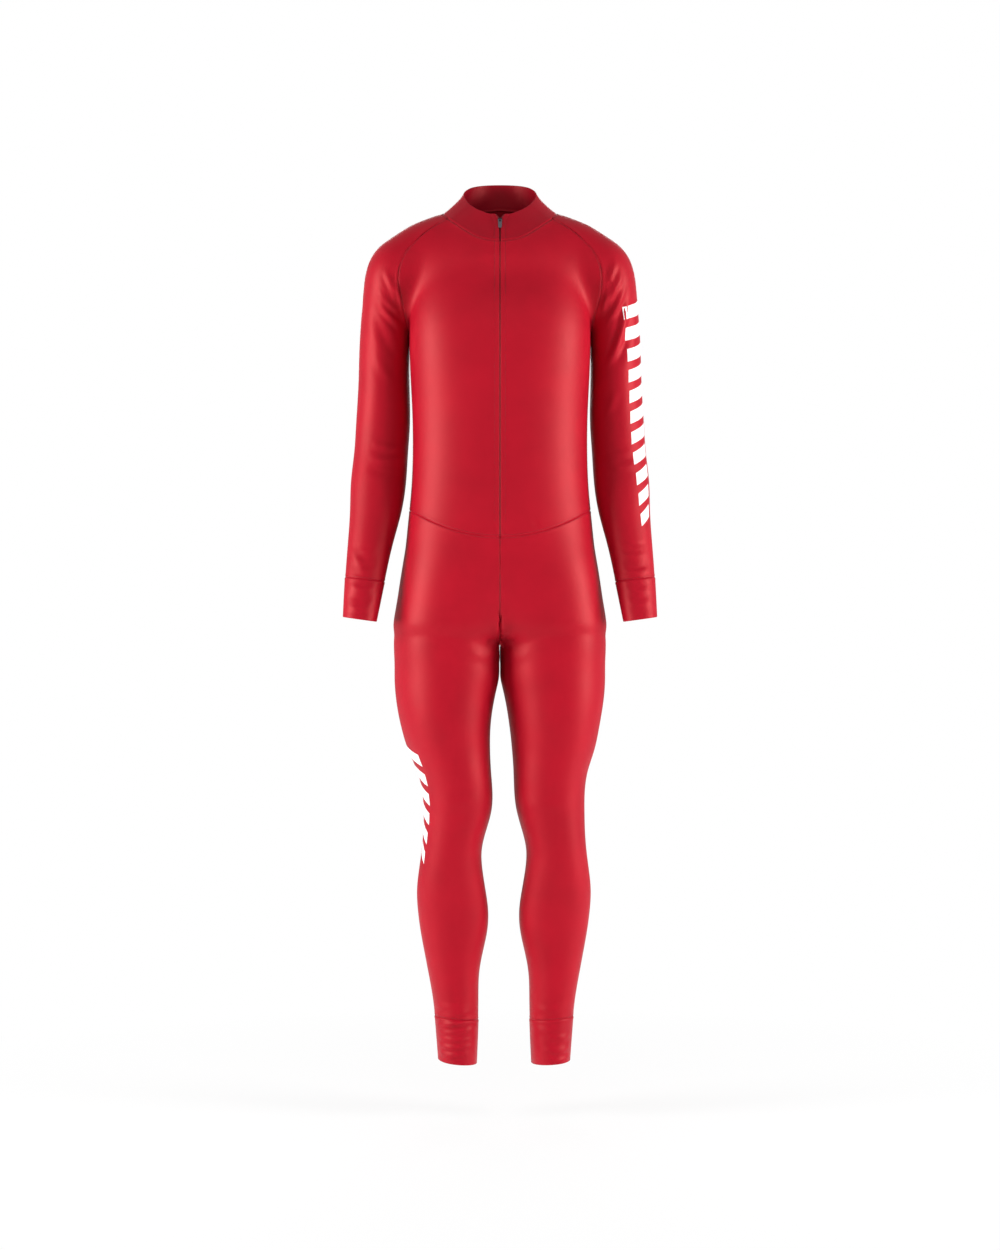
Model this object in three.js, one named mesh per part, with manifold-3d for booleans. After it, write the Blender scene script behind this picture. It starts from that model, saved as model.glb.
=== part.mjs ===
// A nordic ski suit in one piece, filled out as it is worn but with nobody in it: collar, raglan
// sleeves, front zip, a waist seam and long legs. Millimetres. +Z is up and the suit faces -Y.
// The origin is the middle of the neck opening, level with the tops of the shoulders beside it.
import * as THREE from 'three';
import { mergeVertices } from 'three/addons/utils/BufferGeometryUtils.js';
import Module from 'manifold-3d';

const wasm = await Module();
wasm.setup();

// Sizes of the cloth and its seams.
const CLOTH = 1.5; // body, sleeves and legs, one layer of knit
const DOUBLE = 2.5; // collar and cuffs, two layers
const GAP = 0.3; // between two pieces along a seam
const CUFF_PROUD = 0.6; // a cuff's face outside the sleeve's

// Heights and places of the seams.
const COLLAR_FRONT_RIM = -5;
const COLLAR_SIDE_RIM = 37;
const COLLAR_BACK_RIM = 63;
const RIM = { half: 62, front: 58, back: 65 };
const WAIST = { front: -548, side: -500, back: -480, reach: 155 };
const CROTCH_CENTRE = { y: 8, z: -640 };
const WRIST = { seam: -618, hem: -685, drop: 4 };
const ANKLE = { seam: -1362, hem: -1436, drop: 3 };
const FRONT_EDGE = 2.6; // from the middle of the zip to each front edge
const ZIP_FLARE = 6; // how far each edge opens above the slider
const SLIDER_HEIGHT = 0.74; // up the collar, as a share of its height

// How many stretches each seam is cut into.
const CUTS = {
  frontWaist: 8, neckEdge: 4, backNeck: 12, raglan: 8, side: 8, frontCrotch: 4, backCrotch: 5,
  sleeve: 16, leg: 15, cuff: 2,
};

// ---- Tables: columns by name, smoothed between rows ----

function spline(xs, ys) {
  const n = xs.length;
  const h = xs.slice(1).map((x, i) => x - xs[i]);
  const bend = new Array(n).fill(0);
  const c = new Array(n).fill(0);
  const d = new Array(n).fill(0);
  for (let i = 1; i < n - 1; i++) {
    const rise = 6 * ((ys[i + 1] - ys[i]) / h[i] - (ys[i] - ys[i - 1]) / h[i - 1]);
    const m = 2 * (h[i - 1] + h[i]) - h[i - 1] * c[i - 1];
    c[i] = h[i] / m;
    d[i] = (rise - h[i - 1] * d[i - 1]) / m;
  }
  for (let i = n - 2; i > 0; i--) bend[i] = d[i] - c[i] * bend[i + 1];
  return (x) => {
    const at = Math.min(Math.max(x, xs[0]), xs[n - 1]);
    let i = 0;
    while (i < n - 2 && at > xs[i + 1]) i++;
    const a = (xs[i + 1] - at) / h[i];
    const b = 1 - a;
    const curve = ((a ** 3 - a) * bend[i] + (b ** 3 - b) * bend[i + 1]) * h[i] ** 2 / 6;
    return a * ys[i] + b * ys[i + 1] + curve;
  };
}

function table(columns, rows) {
  const names = columns.split(' ');
  const sorted = [...rows].sort((p, q) => p[0] - q[0]);
  const keys = sorted.map((row) => row[0]);
  const column = (k) => spline(keys, sorted.map((row) => row[k + 1]));
  return Object.fromEntries(names.slice(1).map((name, k) => [name, column(k)]));
}

// Level sections: half width, depth in front and behind, and how square (2 is an ellipse).
const TORSO = table('z half front back square', [
  [-30, 95, 62, 74, 2.2],
  [-60, 122, 78, 84, 2.3],
  [-100, 140, 93, 95, 2.4],
  [-145, 150, 107, 101, 2.5],
  [-190, 153.5, 114, 102, 2.6],
  [-250, 153, 113, 97, 2.5],
  [-330, 149, 104, 86, 2.3],
  [-400, 148, 99, 76, 2.25],
  [-470, 151, 99, 80, 2.3],
  [-540, 158, 102, 96, 2.4],
  [-600, 160, 101, 110, 2.5],
  [-660, 154, 94, 114, 2.5],
  [-720, 150, 84, 106, 2.5],
]);

// The shoulders, as sections across: centre height and depth, half height, half depth.
const YOKE = table('x height tall depth deep', [
  [0, -48, 48, 6, 74],
  [60, -48, 50, 6, 72],
  [100, -53, 54, 5, 66],
  [140, -68, 57, 4, 60],
  [180, -89, 59, 2, 55],
  [230, -108, 56, 0, 50],
]);

const NECK = table('z half front back', [
  [-80, 70, 82, 74],
  [-40, 66, 72, 72],
  [0, 63, 60, 69],
  [40, 61.5, 52, 66],
  [80, 61.5, 47, 64],
]);

// An arm and a leg: x and depth place each section's centre.
const ARM = table('z x depth half deep square', [
  [-60, 184, 4, 40, 52, 2],
  [-110, 187.5, 8, 42, 55, 2],
  [-170, 193.5, 17, 43, 57, 2.05],
  [-230, 197.5, 25, 43, 57, 2.1],
  [-290, 198.5, 28, 44, 55, 2.1],
  [-350, 200, 26, 46, 50, 2.1],
  [-400, 203, 20, 46, 46, 2.1],
  [-450, 207, 11, 47, 46, 2.1],
  [-500, 211, -1, 44, 44, 2.1],
  [-560, 220, -18, 38, 38, 2.1],
  [-620, 228, -34, 33.5, 32, 2.1],
  [-690, 236, -52, 28, 28, 2.1],
]);

const LEG = table('z x depth half front back square', [
  [-560, 80, 8, 58, 84, 88, 2.2],
  [-640, 88, 10, 73, 90, 98, 2.3],
  [-720, 90.2, 10, 89.7, 98, 100.5, 2.2],
  [-760, 89.9, 9, 89.2, 95, 92.5, 2.15],
  [-785, 90.3, 8.5, 88.7, 93.5, 89, 2.1],
  [-806, 92, 8, 86, 92, 86, 2.1],
  [-874, 92, 5, 75, 84, 76, 2.1],
  [-908, 88.4, 3.5, 69.5, 77, 68, 2.1],
  [-942, 82.3, 2, 63, 72, 62, 2.1],
  [-1010, 79, 0, 57.5, 62, 54, 2.1],
  [-1078, 89, 3, 51, 56, 58, 2.1],
  [-1112, 90.5, 5, 54, 54, 63, 2.1],
  [-1146, 89.5, 7, 58.3, 51, 68, 2.1],
  [-1180, 86.5, 8.5, 59.8, 48, 68, 2.1],
  [-1214, 85, 9, 57, 46, 64, 2.1],
  [-1248, 85.4, 8.5, 50.5, 44, 58, 2.1],
  [-1282, 85.4, 7, 44, 42.5, 51, 2.1],
  [-1333, 82, 5, 38.5, 41, 46, 2.1],
  [-1384, 80, 3, 35.4, 42, 45, 2.1],
  [-1440, 79, 2, 32, 44, 46, 2.1],
]);
const LEAN = 7; // both lower legs stand this far towards +X
const TWIST = 0.075; // each leg's sections turn by this slope, so the thighs pass close by
const ARM_FORK = -215; // below these heights an arm, or a leg, is apart from the rest
const LEG_FORK = -728;

// ---- The suit's smooth form: below zero inside, above zero outside ----

const smoothMin = (a, b, k) => Math.min(a, b) - (k > 0 ? Math.max(k - Math.abs(a - b), 0) ** 2 / (4 * k) : 0);
const smoothMax = (a, b, k) => -smoothMin(-a, -b, k);
const oval = (u, v, a, b, n) => ((Math.abs(u) / a) ** n + (Math.abs(v) / b) ** n) ** (1 / n);

function ease(x, low, high) {
  const t = Math.min(Math.max((x - low) / (high - low), 0), 1);
  return t * t * (3 - 2 * t);
}

function torso({ x, y, z }) {
  const depth = y < 0 ? TORSO.front(z) : TORSO.back(z);
  const tube = (oval(x, y, TORSO.half(z), depth, TORSO.square(z)) - 1) * 120;
  return smoothMax(smoothMax(tube, z + 22, 50), -712 - z, 60);
}

function yoke({ x, y, z }) {
  const s = Math.abs(x);
  const tube = (oval(z - YOKE.height(s), y - YOKE.depth(s), YOKE.tall(s), YOKE.deep(s), 2.1) - 1) * 58;
  return smoothMax(tube, s - 205, 60);
}

function neck({ x, y, z }) {
  const depth = y < 0 ? NECK.front(z) : NECK.back(z);
  return smoothMax((oval(x, y, NECK.half(z), depth, 2) - 1) * 64, -90 - z, 30);
}

function arm({ x, y, z }, side) {
  const tube = oval(x * side - ARM.x(z), y - ARM.depth(z), ARM.half(z), ARM.deep(z), ARM.square(z));
  return smoothMax((tube - 1) * 45, z + 58, 60);
}

function leg({ x, y, z }, side) {
  const across = (x - LEAN * ease(-z, 840, 1030) + TWIST * y) * side;
  const back = y - LEG.depth(z);
  const depth = back < 0 ? LEG.front(z) : LEG.back(z);
  return smoothMax((oval(across - LEG.x(z), back, LEG.half(z), depth, LEG.square(z)) - 1) * 75, z + 570, 80);
}

function trunk(p) {
  return smoothMin(smoothMin(torso(p), yoke(p), 46), neck(p), 40);
}

function hips(p, legs) {
  return smoothMin(trunk(p), legs, 50 * ease(p.z, -750, -690));
}

function bothLegs(p) {
  return smoothMin(leg(p, 1), leg(p, -1), 40 * ease(p.z, LEG_FORK, -700));
}

function joined(p) {
  const k = 40 * ease(p.z, ARM_FORK, -130);
  return smoothMin(smoothMin(hips(p, bothLegs(p)), arm(p, 1), k), arm(p, -1), k);
}

const bodyForm = (p) => (p.z < ARM_FORK ? hips(p, bothLegs(p)) : joined(p));
const sleeveForm = (side) => (p) => (p.z < ARM_FORK ? arm(p, side) : joined(p));
const legSkin = (side) => (p) => (p.z < LEG_FORK ? hips(p, leg(p, side)) : hips(p, bothLegs(p)));
// Each leg keeps to its own side of the seam between them.
const legForm = (side) => (p) => Math.max(legSkin(side)(p), GAP / 2 - p.x * side);

// ---- Points on the form ----

const point = (x, y, z) => new THREE.Vector3(x, y, z);
const between = (a, b, t) => a.clone().lerp(b, t);

function slope(form, p) {
  const e = 0.5;
  return point(
    (form(point(p.x + e, p.y, p.z)) - form(point(p.x - e, p.y, p.z))) / (2 * e),
    (form(point(p.x, p.y + e, p.z)) - form(point(p.x, p.y - e, p.z))) / (2 * e),
    (form(point(p.x, p.y, p.z + e)) - form(point(p.x, p.y, p.z - e))) / (2 * e),
  );
}

const outward = (form, p) => slope(form, p).normalize();

// Moves a point straight onto the form's surface.
function settle(form, start, steps = 6) {
  let p = start.clone();
  for (let i = 0; i < steps; i++) {
    const g = slope(form, p);
    const push = THREE.MathUtils.clamp(form(p) / Math.max(g.lengthSq(), 0.05), -20, 20);
    p = p.addScaledVector(g, -push);
  }
  return p;
}

// Where a straight line first enters the form.
function meet(form, from, to) {
  const steps = 60;
  let near = 0;
  let far = 1;
  for (let i = 1; i <= steps; i++) {
    if (form(between(from, to, i / steps)) < 0) {
      far = i / steps;
      near = (i - 1) / steps;
      break;
    }
  }
  for (let i = 0; i < 20; i++) {
    const middle = (near + far) / 2;
    if (form(between(from, to, middle)) < 0) far = middle;
    else near = middle;
  }
  return between(from, to, far);
}

const onFront = (form, x, z) => meet(form, point(x, -230, z), point(x, 0, z));
const onBack = (form, x, z) => meet(form, point(x, 230, z), point(x, 0, z));

// A chain of points as `cuts` equal stretches.
function evenly(points, cuts) {
  const lengths = [0];
  for (let i = 1; i < points.length; i++) lengths.push(lengths[i - 1] + points[i].distanceTo(points[i - 1]));
  const total = lengths.at(-1);
  return Array.from({ length: cuts + 1 }, (_, k) => {
    const at = total * k / cuts;
    let i = 1;
    while (i < points.length - 1 && lengths[i] < at) i++;
    return between(points[i - 1], points[i], (at - lengths[i - 1]) / (lengths[i] - lengths[i - 1]));
  });
}

// An even chain on the form from a hand-set one; its ends stay where they are.
function seamLine(form, guide, cuts) {
  const fine = evenly(new THREE.CatmullRomCurve3(guide).getPoints(60), 48).map((p) => settle(form, p));
  fine[0] = guide[0];
  fine[48] = guide.at(-1);
  return evenly(fine, cuts);
}

const mirrored = (points) => points.map((p) => point(-p.x, p.y, p.z));
const reversed = (points) => [...points].reverse();

// ---- Seams of the left half (+X); the torso is the same on the right ----

// The collar seam: its height by the angle round the neck, from the front.
const COLLAR_SEAM = table('angle height', [
  [0, -54],
  [20, -48],
  [40, -31],
  [60, -11],
  [75, 0],
  [90, 6],
  [110, 11],
  [135, 15],
  [180, 20],
]);
const NECK_CORNERS = [61, 122]; // angles of the front and back raglan seams on the collar

function collarSeamAt(angle) {
  const a = THREE.MathUtils.degToRad(angle);
  const height = COLLAR_SEAM.height(angle);
  const axis = point(0, 4, height);
  return meet(joined, point(260 * Math.sin(a), 4 - 260 * Math.cos(a), height), axis);
}

// Points of the raglan seams between the collar and the armpit: across, and height.
const FRONT_RAGLAN = [
  [103, -19], [127, -35], [142, -49], [154, -60], [163, -76],
  [168, -91], [171, -111], [170, -131], [166, -151], [161, -171],
];
const BACK_RAGLAN = [[95, -20], [120, -47], [140, -80], [154, -115], [160, -150], [159, -178]];

// The armpit is where the arm and the body part, half way between them.
function armpit() {
  const x = 154;
  const y = 14;
  return meet(joined, point(x, y, -260), point(x, y, -120));
}

const pit = armpit();
const frontAngle = THREE.MathUtils.radToDeg(Math.asin(FRONT_EDGE / 80));
const frontNeck = Array.from({ length: CUTS.frontWaist + 1 }, (_, i) => {
  const p = collarSeamAt(THREE.MathUtils.lerp(frontAngle, NECK_CORNERS[0], i / CUTS.frontWaist));
  return i ? p : point(FRONT_EDGE, p.y, p.z);
});
const neckEdge = Array.from({ length: CUTS.neckEdge + 1 }, (_, i) =>
  collarSeamAt(THREE.MathUtils.lerp(...NECK_CORNERS, i / CUTS.neckEdge)));
const halfBackNeck = Array.from({ length: CUTS.backNeck / 2 + 1 }, (_, i) =>
  collarSeamAt(THREE.MathUtils.lerp(NECK_CORNERS[1], 180, 2 * i / CUTS.backNeck)));
const backNeck = [...halfBackNeck, ...reversed(mirrored(halfBackNeck)).slice(1)];

const frontGuide = FRONT_RAGLAN.map(([x, z]) => onFront(joined, x, z));
const backGuide = BACK_RAGLAN.map(([x, z]) => onBack(joined, x, z));
const frontRaglan = seamLine(joined, [neckEdge[0], ...frontGuide, pit], CUTS.raglan);
const backRaglan = seamLine(joined, [neckEdge.at(-1), ...backGuide, pit], CUTS.raglan);

function waistAt(x, front) {
  const out = Math.min(Math.abs(x) / WAIST.reach, 1) ** 2;
  const z = THREE.MathUtils.lerp(front ? WAIST.front : WAIST.back, WAIST.side, out);
  return front ? onFront(bodyForm, x, z) : onBack(bodyForm, x, z);
}

const waistSide = meet(bodyForm, point(260, 6, WAIST.side), point(0, 6, WAIST.side));
const waistGuide = [20, 55, 90, 118, 138, 148];
const waistAlongFront = [0, ...waistGuide].map((x) => waistAt(x, true));
const waistAlongBack = reversed([0, ...waistGuide]).map((x) => waistAt(x, false));
const waistFront = seamLine(bodyForm, [...waistAlongFront, waistSide], CUTS.frontWaist);
const waistBack = seamLine(bodyForm, [waistSide, ...waistAlongBack], CUTS.backNeck / 2);
// The front's own corner lies on the first stretch, at the zip's edge.
const waistCorner = between(waistFront[0], waistFront[1], FRONT_EDGE / waistFront[1].x);
const waistFrontCut = [waistCorner, ...waistFront.slice(1)];

const sideSeam = seamLine(bodyForm, [
  pit,
  meet(bodyForm, point(260, 8, -260), point(0, 8, -260)),
  meet(bodyForm, point(260, 5, -340), point(0, 5, -340)),
  meet(bodyForm, point(260, 5, -420), point(0, 5, -420)),
  waistSide,
], CUTS.side);

const frontMiddle = seamLine(bodyForm, [
  frontNeck[0],
  ...[-120, -190, -260, -330, -400, -470].map((z) => onFront(bodyForm, FRONT_EDGE, z)),
  waistFrontCut[0],
], CUTS.raglan + CUTS.side).map((p) => point(FRONT_EDGE, p.y, p.z));

// The seam between the legs, in the middle plane, from the front of the waist under to the back.
function crotchAt(angle) {
  const a = THREE.MathUtils.degToRad(angle);
  const centre = point(0, CROTCH_CENTRE.y, CROTCH_CENTRE.z);
  const edge = point(0, centre.y - 200 * Math.cos(a), centre.z - 200 * Math.sin(a));
  return meet((p) => hips(p, bothLegs(p)), edge, centre);
}

const crotch = crotchAt(90);
const underFront = [0, 25, 45, 60, 72, 82].map(crotchAt);
const underBack = [98, 108, 120, 135, 150, 165, 180].map(crotchAt);
const bellyPoint = onFront(bodyForm, 0, -600);
const seatPoint = onBack(bodyForm, 0, -560);
const crotchFront = evenly([waistAt(0, true), bellyPoint, ...underFront, crotch], CUTS.frontCrotch);
const crotchBack = evenly([crotch, ...underBack, seatPoint, waistAt(0, false)], CUTS.backCrotch);

// ---- Grids of points over the form ----

// A four-sided patch between its edges: `top` and `bottom` run across, `first` and `last` run down.
function patch(form, { top, bottom, first, last }) {
  const rows = first.length - 1;
  const columns = top.length - 1;
  const grid = first.map((_, r) => top.map((_, c) => {
    if (c === 0) return first[r].clone();
    if (c === columns) return last[r].clone();
    if (r === 0) return top[c].clone();
    if (r === rows) return bottom[c].clone();
    const u = c / columns;
    const v = r / rows;
    const p = between(first[r], last[r], u).add(between(top[c], bottom[c], v));
    const corners = between(between(first[0], last[0], u), between(first[rows], last[rows], u), v);
    return settle(form, p.sub(corners));
  }));
  return relax(form, grid, false, 6);
}

// Evens a grid out, keeping its top and bottom rows, and its side columns where it is open.
function relax(form, grid, round, passes) {
  const columns = grid[0].length;
  for (let pass = 0; pass < passes; pass++) {
    const before = grid.map((row) => row.map((p) => p.clone()));
    for (let r = 1; r < grid.length - 1; r++) {
      for (let c = round ? 0 : 1; c < (round ? columns : columns - 1); c++) {
        const next = before[r][(c + 1) % columns];
        const last = before[r][(c + columns - 1) % columns];
        const mean = next.clone().add(last).add(before[r - 1][c]).add(before[r + 1][c]).multiplyScalar(0.25);
        grid[r][c] = settle(form, between(before[r][c], mean, 0.6), 3);
      }
    }
  }
  return grid;
}

// A tube from a closed loop of points, down guide rings to its last ring.
function tube(form, paths, rows, passes) {
  const columns = paths.map((path) => {
    const fine = evenly(path, 60).map((p) => settle(form, p));
    fine[0] = path[0].clone();
    fine[60] = path.at(-1);
    return evenly(fine, rows).map((p, i) => (i && i < rows ? settle(form, p, 3) : p));
  });
  const grid = Array.from({ length: rows + 1 }, (_, r) => columns.map((column) => column[r]));
  return relax(form, grid, true, passes);
}

// One ring of a limb at height z; angle 0 is its inner side and a quarter turn is its front.
function limbRing(form, limb, side, z, count, drop = 0) {
  const lean = limb === LEG ? LEAN * ease(-z, 840, 1030) : 0;
  return Array.from({ length: count }, (_, j) => {
    const a = 2 * Math.PI * j / count;
    const height = z - drop * Math.cos(a);
    const centre = point(side * limb.x(z) + lean, limb.depth(z), height);
    const far = point(centre.x - side * 130 * Math.cos(a), centre.y - 130 * Math.sin(a), height);
    return meet(form, far, centre);
  });
}

// ---- From a grid to a wall with an edge all round ----

// Moves a rim's points into their piece by half the seam's gap, square to the rim.
function inset(rim, inner, normals) {
  const sides = rim.map((p, i) => {
    const before = rim[(i + rim.length - 1) % rim.length];
    const after = rim[(i + 1) % rim.length];
    return [p.clone().sub(before), after.clone().sub(p)].map((edge) => edge.cross(normals[i]).normalize());
  });
  const toward = ([a, b], i) => inner[i].clone().sub(rim[i]).dot(a.clone().add(b));
  const facing = sides.reduce((sum, pair, i) => sum + toward(pair, i), 0);
  return rim.map((p, i) => {
    const [a, b] = sides[i];
    const share = Math.max(1 + a.dot(b), 0.4);
    return p.clone().add(a.clone().add(b).multiplyScalar(Math.sign(facing) * GAP / 2 / share));
  });
}

function wall(grid, { round = false, thickness = CLOTH, normals, open = [] }) {
  const rows = grid.length - 1;
  const columns = grid[0].length;
  const face = grid.map((row) => row.map((p) => p.clone()));
  const rims = rimsOf(rows, columns, round);
  for (const rim of rims) {
    const points = rim.map(([r, c]) => grid[r][c]);
    const inner = rim.map(([r, c]) => grid[inward(r, rows)][round ? c : inward(c, columns - 1)]);
    const moved = inset(points, inner, rim.map(([r, c]) => normals[r][c]));
    rim.forEach(([r, c], i) => {
      if (!open.includes(r)) face[r][c] = moved[i];
    });
  }
  const outer = face.flat();
  const lined = (p, r, c) => p.clone().addScaledVector(normals[r][c], -thickness);
  const lining = face.flatMap((row, r) => row.map((p, c) => lined(p, r, c)));
  const index = (r, c) => r * columns + (c % columns);
  const quads = [];
  for (let r = 0; r < rows; r++) {
    for (let c = 0; c < (round ? columns : columns - 1); c++) {
      quads.push([index(r, c), index(r, c + 1), index(r + 1, c + 1), index(r + 1, c)]);
    }
  }
  const loops = rims.map((rim) => rim.map(([r, c]) => index(r, c)));
  return solid(outer, lining, turned(quads, outer, normals.flat()), loops);
}

const inward = (i, last) => (i === 0 ? 1 : i === last ? last - 1 : i);

function rimsOf(rows, columns, round) {
  const across = Array.from({ length: columns }, (_, c) => c);
  if (round) return [across.map((c) => [0, c]), across.map((c) => [rows, c])];
  const down = Array.from({ length: rows - 1 }, (_, r) => r + 1);
  return [[
    ...across.map((c) => [0, c]),
    ...down.map((r) => [r, columns - 1]),
    ...reversed(across).map((c) => [rows, c]),
    ...reversed(down).map((r) => [r, 0]),
  ]];
}

// Faces that look the way the normals point.
function turned(quads, points, normals) {
  const sum = quads.reduce((total, [a, b, c]) => {
    const facing = points[b].clone().sub(points[a]).cross(points[c].clone().sub(points[a]));
    return total + facing.dot(normals[a]);
  }, 0);
  return sum < 0 ? quads.map(flipped) : quads;
}

// The same face seen from behind, cut along the same diagonal.
const flipped = ([a, b, c, d]) => [a, d, c, b];

// Two pieces that share a seam cut its edge faces along the same diagonals, by the higher corner.
const rank = (p) => p.z + 0.37 * p.y + 0.13 * Math.abs(p.x);

function solid(outer, lining, quads, rims) {
  const shift = outer.length;
  const faces = [...quads, ...quads.map((quad) => flipped(quad).map((i) => i + shift))];
  const sidesOf = ([a, b, c, d]) => [`${a} ${b}`, `${b} ${c}`, `${c} ${d}`, `${d} ${a}`];
  const edges = new Set(quads.flatMap(sidesOf));
  for (const rim of rims) {
    rim.forEach((a, i) => {
      const b = rim[(i + 1) % rim.length];
      const [from, to] = edges.has(`${a} ${b}`) ? [a, b] : [b, a];
      const strip = [to, from, from + shift, to + shift];
      faces.push(rank(outer[to]) > rank(outer[from]) ? strip : [...strip.slice(1), to]);
    });
  }
  const geometry = new THREE.BufferGeometry();
  const values = [...outer, ...lining].flatMap((p) => p.toArray());
  geometry.setAttribute('position', new THREE.Float32BufferAttribute(values, 3));
  geometry.setIndex(faces.flatMap(([a, b, c, d]) => [a, b, c, a, c, d]));
  geometry.computeVertexNormals();
  return geometry;
}

const formNormals = (form, grid) => grid.map((row) => row.map((p) => outward(form, p)));

// Normals of a grid with no form of its own.
function gridNormals(grid, centre) {
  const rows = grid.length - 1;
  const columns = grid[0].length - 1;
  return grid.map((row, r) => row.map((p, c) => {
    const across = grid[r][Math.min(c + 1, columns)].clone().sub(grid[r][Math.max(c - 1, 0)]);
    const down = grid[Math.min(r + 1, rows)][c].clone().sub(grid[Math.max(r - 1, 0)][c]);
    const normal = across.cross(down).normalize();
    return normal.dot(p.clone().sub(centre)) < 0 ? normal.negate() : normal;
  }));
}

// ---- The pieces ----

const suit = new THREE.Group();

const FINISH = {
  knit: { color: '#a80c22', roughness: 0.55, metalness: 0 },
  zip: { color: '#9c0a20', roughness: 0.6, metalness: 0 },
  hardware: { color: '#1d1b1e', roughness: 0.4, metalness: 0.2 },
  pull: { color: '#4a474b', roughness: 0.5, metalness: 0 },
};

function add(name, geometry, finish, group = suit) {
  const mesh = new THREE.Mesh(geometry, new THREE.MeshStandardMaterial(FINISH[finish]));
  mesh.name = name;
  group.add(mesh);
  return mesh;
}

const acrossOver = (side, points) => (side > 0 ? points : mirrored(points));
const sideName = (side) => (side > 0 ? 'left' : 'right');

const frontGrid = patch(bodyForm, {
  top: frontNeck,
  bottom: waistFrontCut,
  first: frontMiddle,
  last: [...frontRaglan, ...sideSeam.slice(1)],
});

// At an armpit the seam hangs between the arm and the body, so each piece's corner keeps to its side.
const PIT_CLEARANCE = 0.35;
function asidePit(grid, normals, [r, c], toX) {
  grid[r][c].x += toX * PIT_CLEARANCE;
  normals[r][c] = point(-toX, 0, 0);
}

function front(side) {
  const grid = frontGrid.map((row) => acrossOver(side, row).map((p) => p.clone()));
  const normals = formNormals(bodyForm, grid);
  asidePit(grid, normals, [CUTS.raglan, grid[0].length - 1], -side);
  add(`front_${sideName(side)}`, wall(grid, { normals }), 'knit');
}

function back() {
  const edge = [...backRaglan, ...sideSeam.slice(1)];
  const grid = patch(bodyForm, {
    top: backNeck,
    bottom: [...waistBack, ...reversed(mirrored(waistBack)).slice(1)],
    first: edge,
    last: mirrored(edge),
  });
  const normals = formNormals(bodyForm, grid);
  asidePit(grid, normals, [CUTS.raglan, 0], -1);
  asidePit(grid, normals, [CUTS.raglan, grid[0].length - 1], 1);
  add('back', wall(grid, { normals }), 'knit');
}

function sleeve(side) {
  const form = sleeveForm(side);
  const loop = acrossOver(side, [...reversed(frontRaglan), ...neckEdge.slice(1), ...backRaglan.slice(1, -1)]);
  const rings = [-245, -320, -400, -480, -550].map((z) => limbRing(form, ARM, side, z, loop.length));
  const wrist = limbRing(form, ARM, side, WRIST.seam, loop.length, WRIST.drop);
  const paths = loop.map((start, j) => {
    const turn = Math.PI * j / loop.length;
    const reach = 0.35 * start.distanceTo(rings[0][j]) * Math.sin(turn) ** 2;
    const over = between(start, rings[0][j], 0.5).add(point(side * 0.74 * reach, 0, 0.67 * reach));
    const bend = new THREE.QuadraticBezierCurve3(start, over, rings[0][j]);
    return [...bend.getPoints(12), ...rings.slice(1).map((ring) => ring[j]), wrist[j]];
  });
  const grid = tube(form, paths, CUTS.sleeve, 2);
  const normals = formNormals(form, grid);
  asidePit(grid, normals, [0, 0], side);
  add(`sleeve_${sideName(side)}`, wall(grid, { round: true, normals }), 'knit');
  cuff(`cuff_${sideName(side)}`, form, ARM, side, WRIST, loop.length);
}

function cuff(name, form, limb, side, { seam, hem, drop }, count) {
  const grid = Array.from({ length: CUTS.cuff + 1 }, (_, r) =>
    limbRing(form, limb, side, THREE.MathUtils.lerp(seam, hem, r / CUTS.cuff), count, drop));
  const normals = formNormals(form, grid);
  const proud = grid.map((row, r) => row.map((p, c) => p.clone().addScaledVector(normals[r][c], CUFF_PROUD)));
  add(name, wall(proud, { round: true, thickness: DOUBLE, normals, open: [CUTS.cuff] }), 'knit');
}

function legPiece(side) {
  const form = legForm(side);
  const half = side * GAP / 2;
  const middle = (points) => points.map((p) => point(half, p.y, p.z));
  const waist = acrossOver(side, [...waistFront, ...waistBack.slice(1)]);
  waist[0].x = half;
  waist[waist.length - 1].x = half;
  const under = middle(reversed(crotchBack)).slice(1, -1);
  const loop = [...middle(reversed(crotchFront)), ...waist.slice(1), ...under];
  const heights = [-800, -900, -1010, -1112, -1200, -1290];
  const rings = heights.map((z) => limbRing(form, LEG, side, z, loop.length));
  const ankle = limbRing(form, LEG, side, ANKLE.seam, loop.length, ANKLE.drop);
  const paths = loop.map((start, j) => [start, ...rings.map((ring) => ring[j]), ankle[j]]);
  const grid = tube(form, paths, CUTS.leg, 4);
  const normals = formNormals(legSkin(side), grid);
  add(`leg_${sideName(side)}`, wall(grid, { round: true, normals }), 'knit');
  cuff(`ankle_cuff_${sideName(side)}`, form, LEG, side, ANKLE, loop.length);
}

// ---- The collar, a band from its seam to its rim ----

const COLLAR_ROWS = [0, 0.41, SLIDER_HEIGHT, 1]; // heights as shares, from the seam up
const collarAngles = [
  ...frontNeck.map((_, i) => THREE.MathUtils.lerp(frontAngle, NECK_CORNERS[0], i / CUTS.frontWaist)),
  ...neckEdge.slice(1).map((_, i) => THREE.MathUtils.lerp(...NECK_CORNERS, (i + 1) / CUTS.neckEdge)),
  ...halfBackNeck.slice(1).map((_, i) =>
    THREE.MathUtils.lerp(NECK_CORNERS[1], 180, 2 * (i + 1) / CUTS.backNeck)),
];
const collarSeam = [...frontNeck, ...neckEdge.slice(1), ...halfBackNeck.slice(1)];

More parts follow.
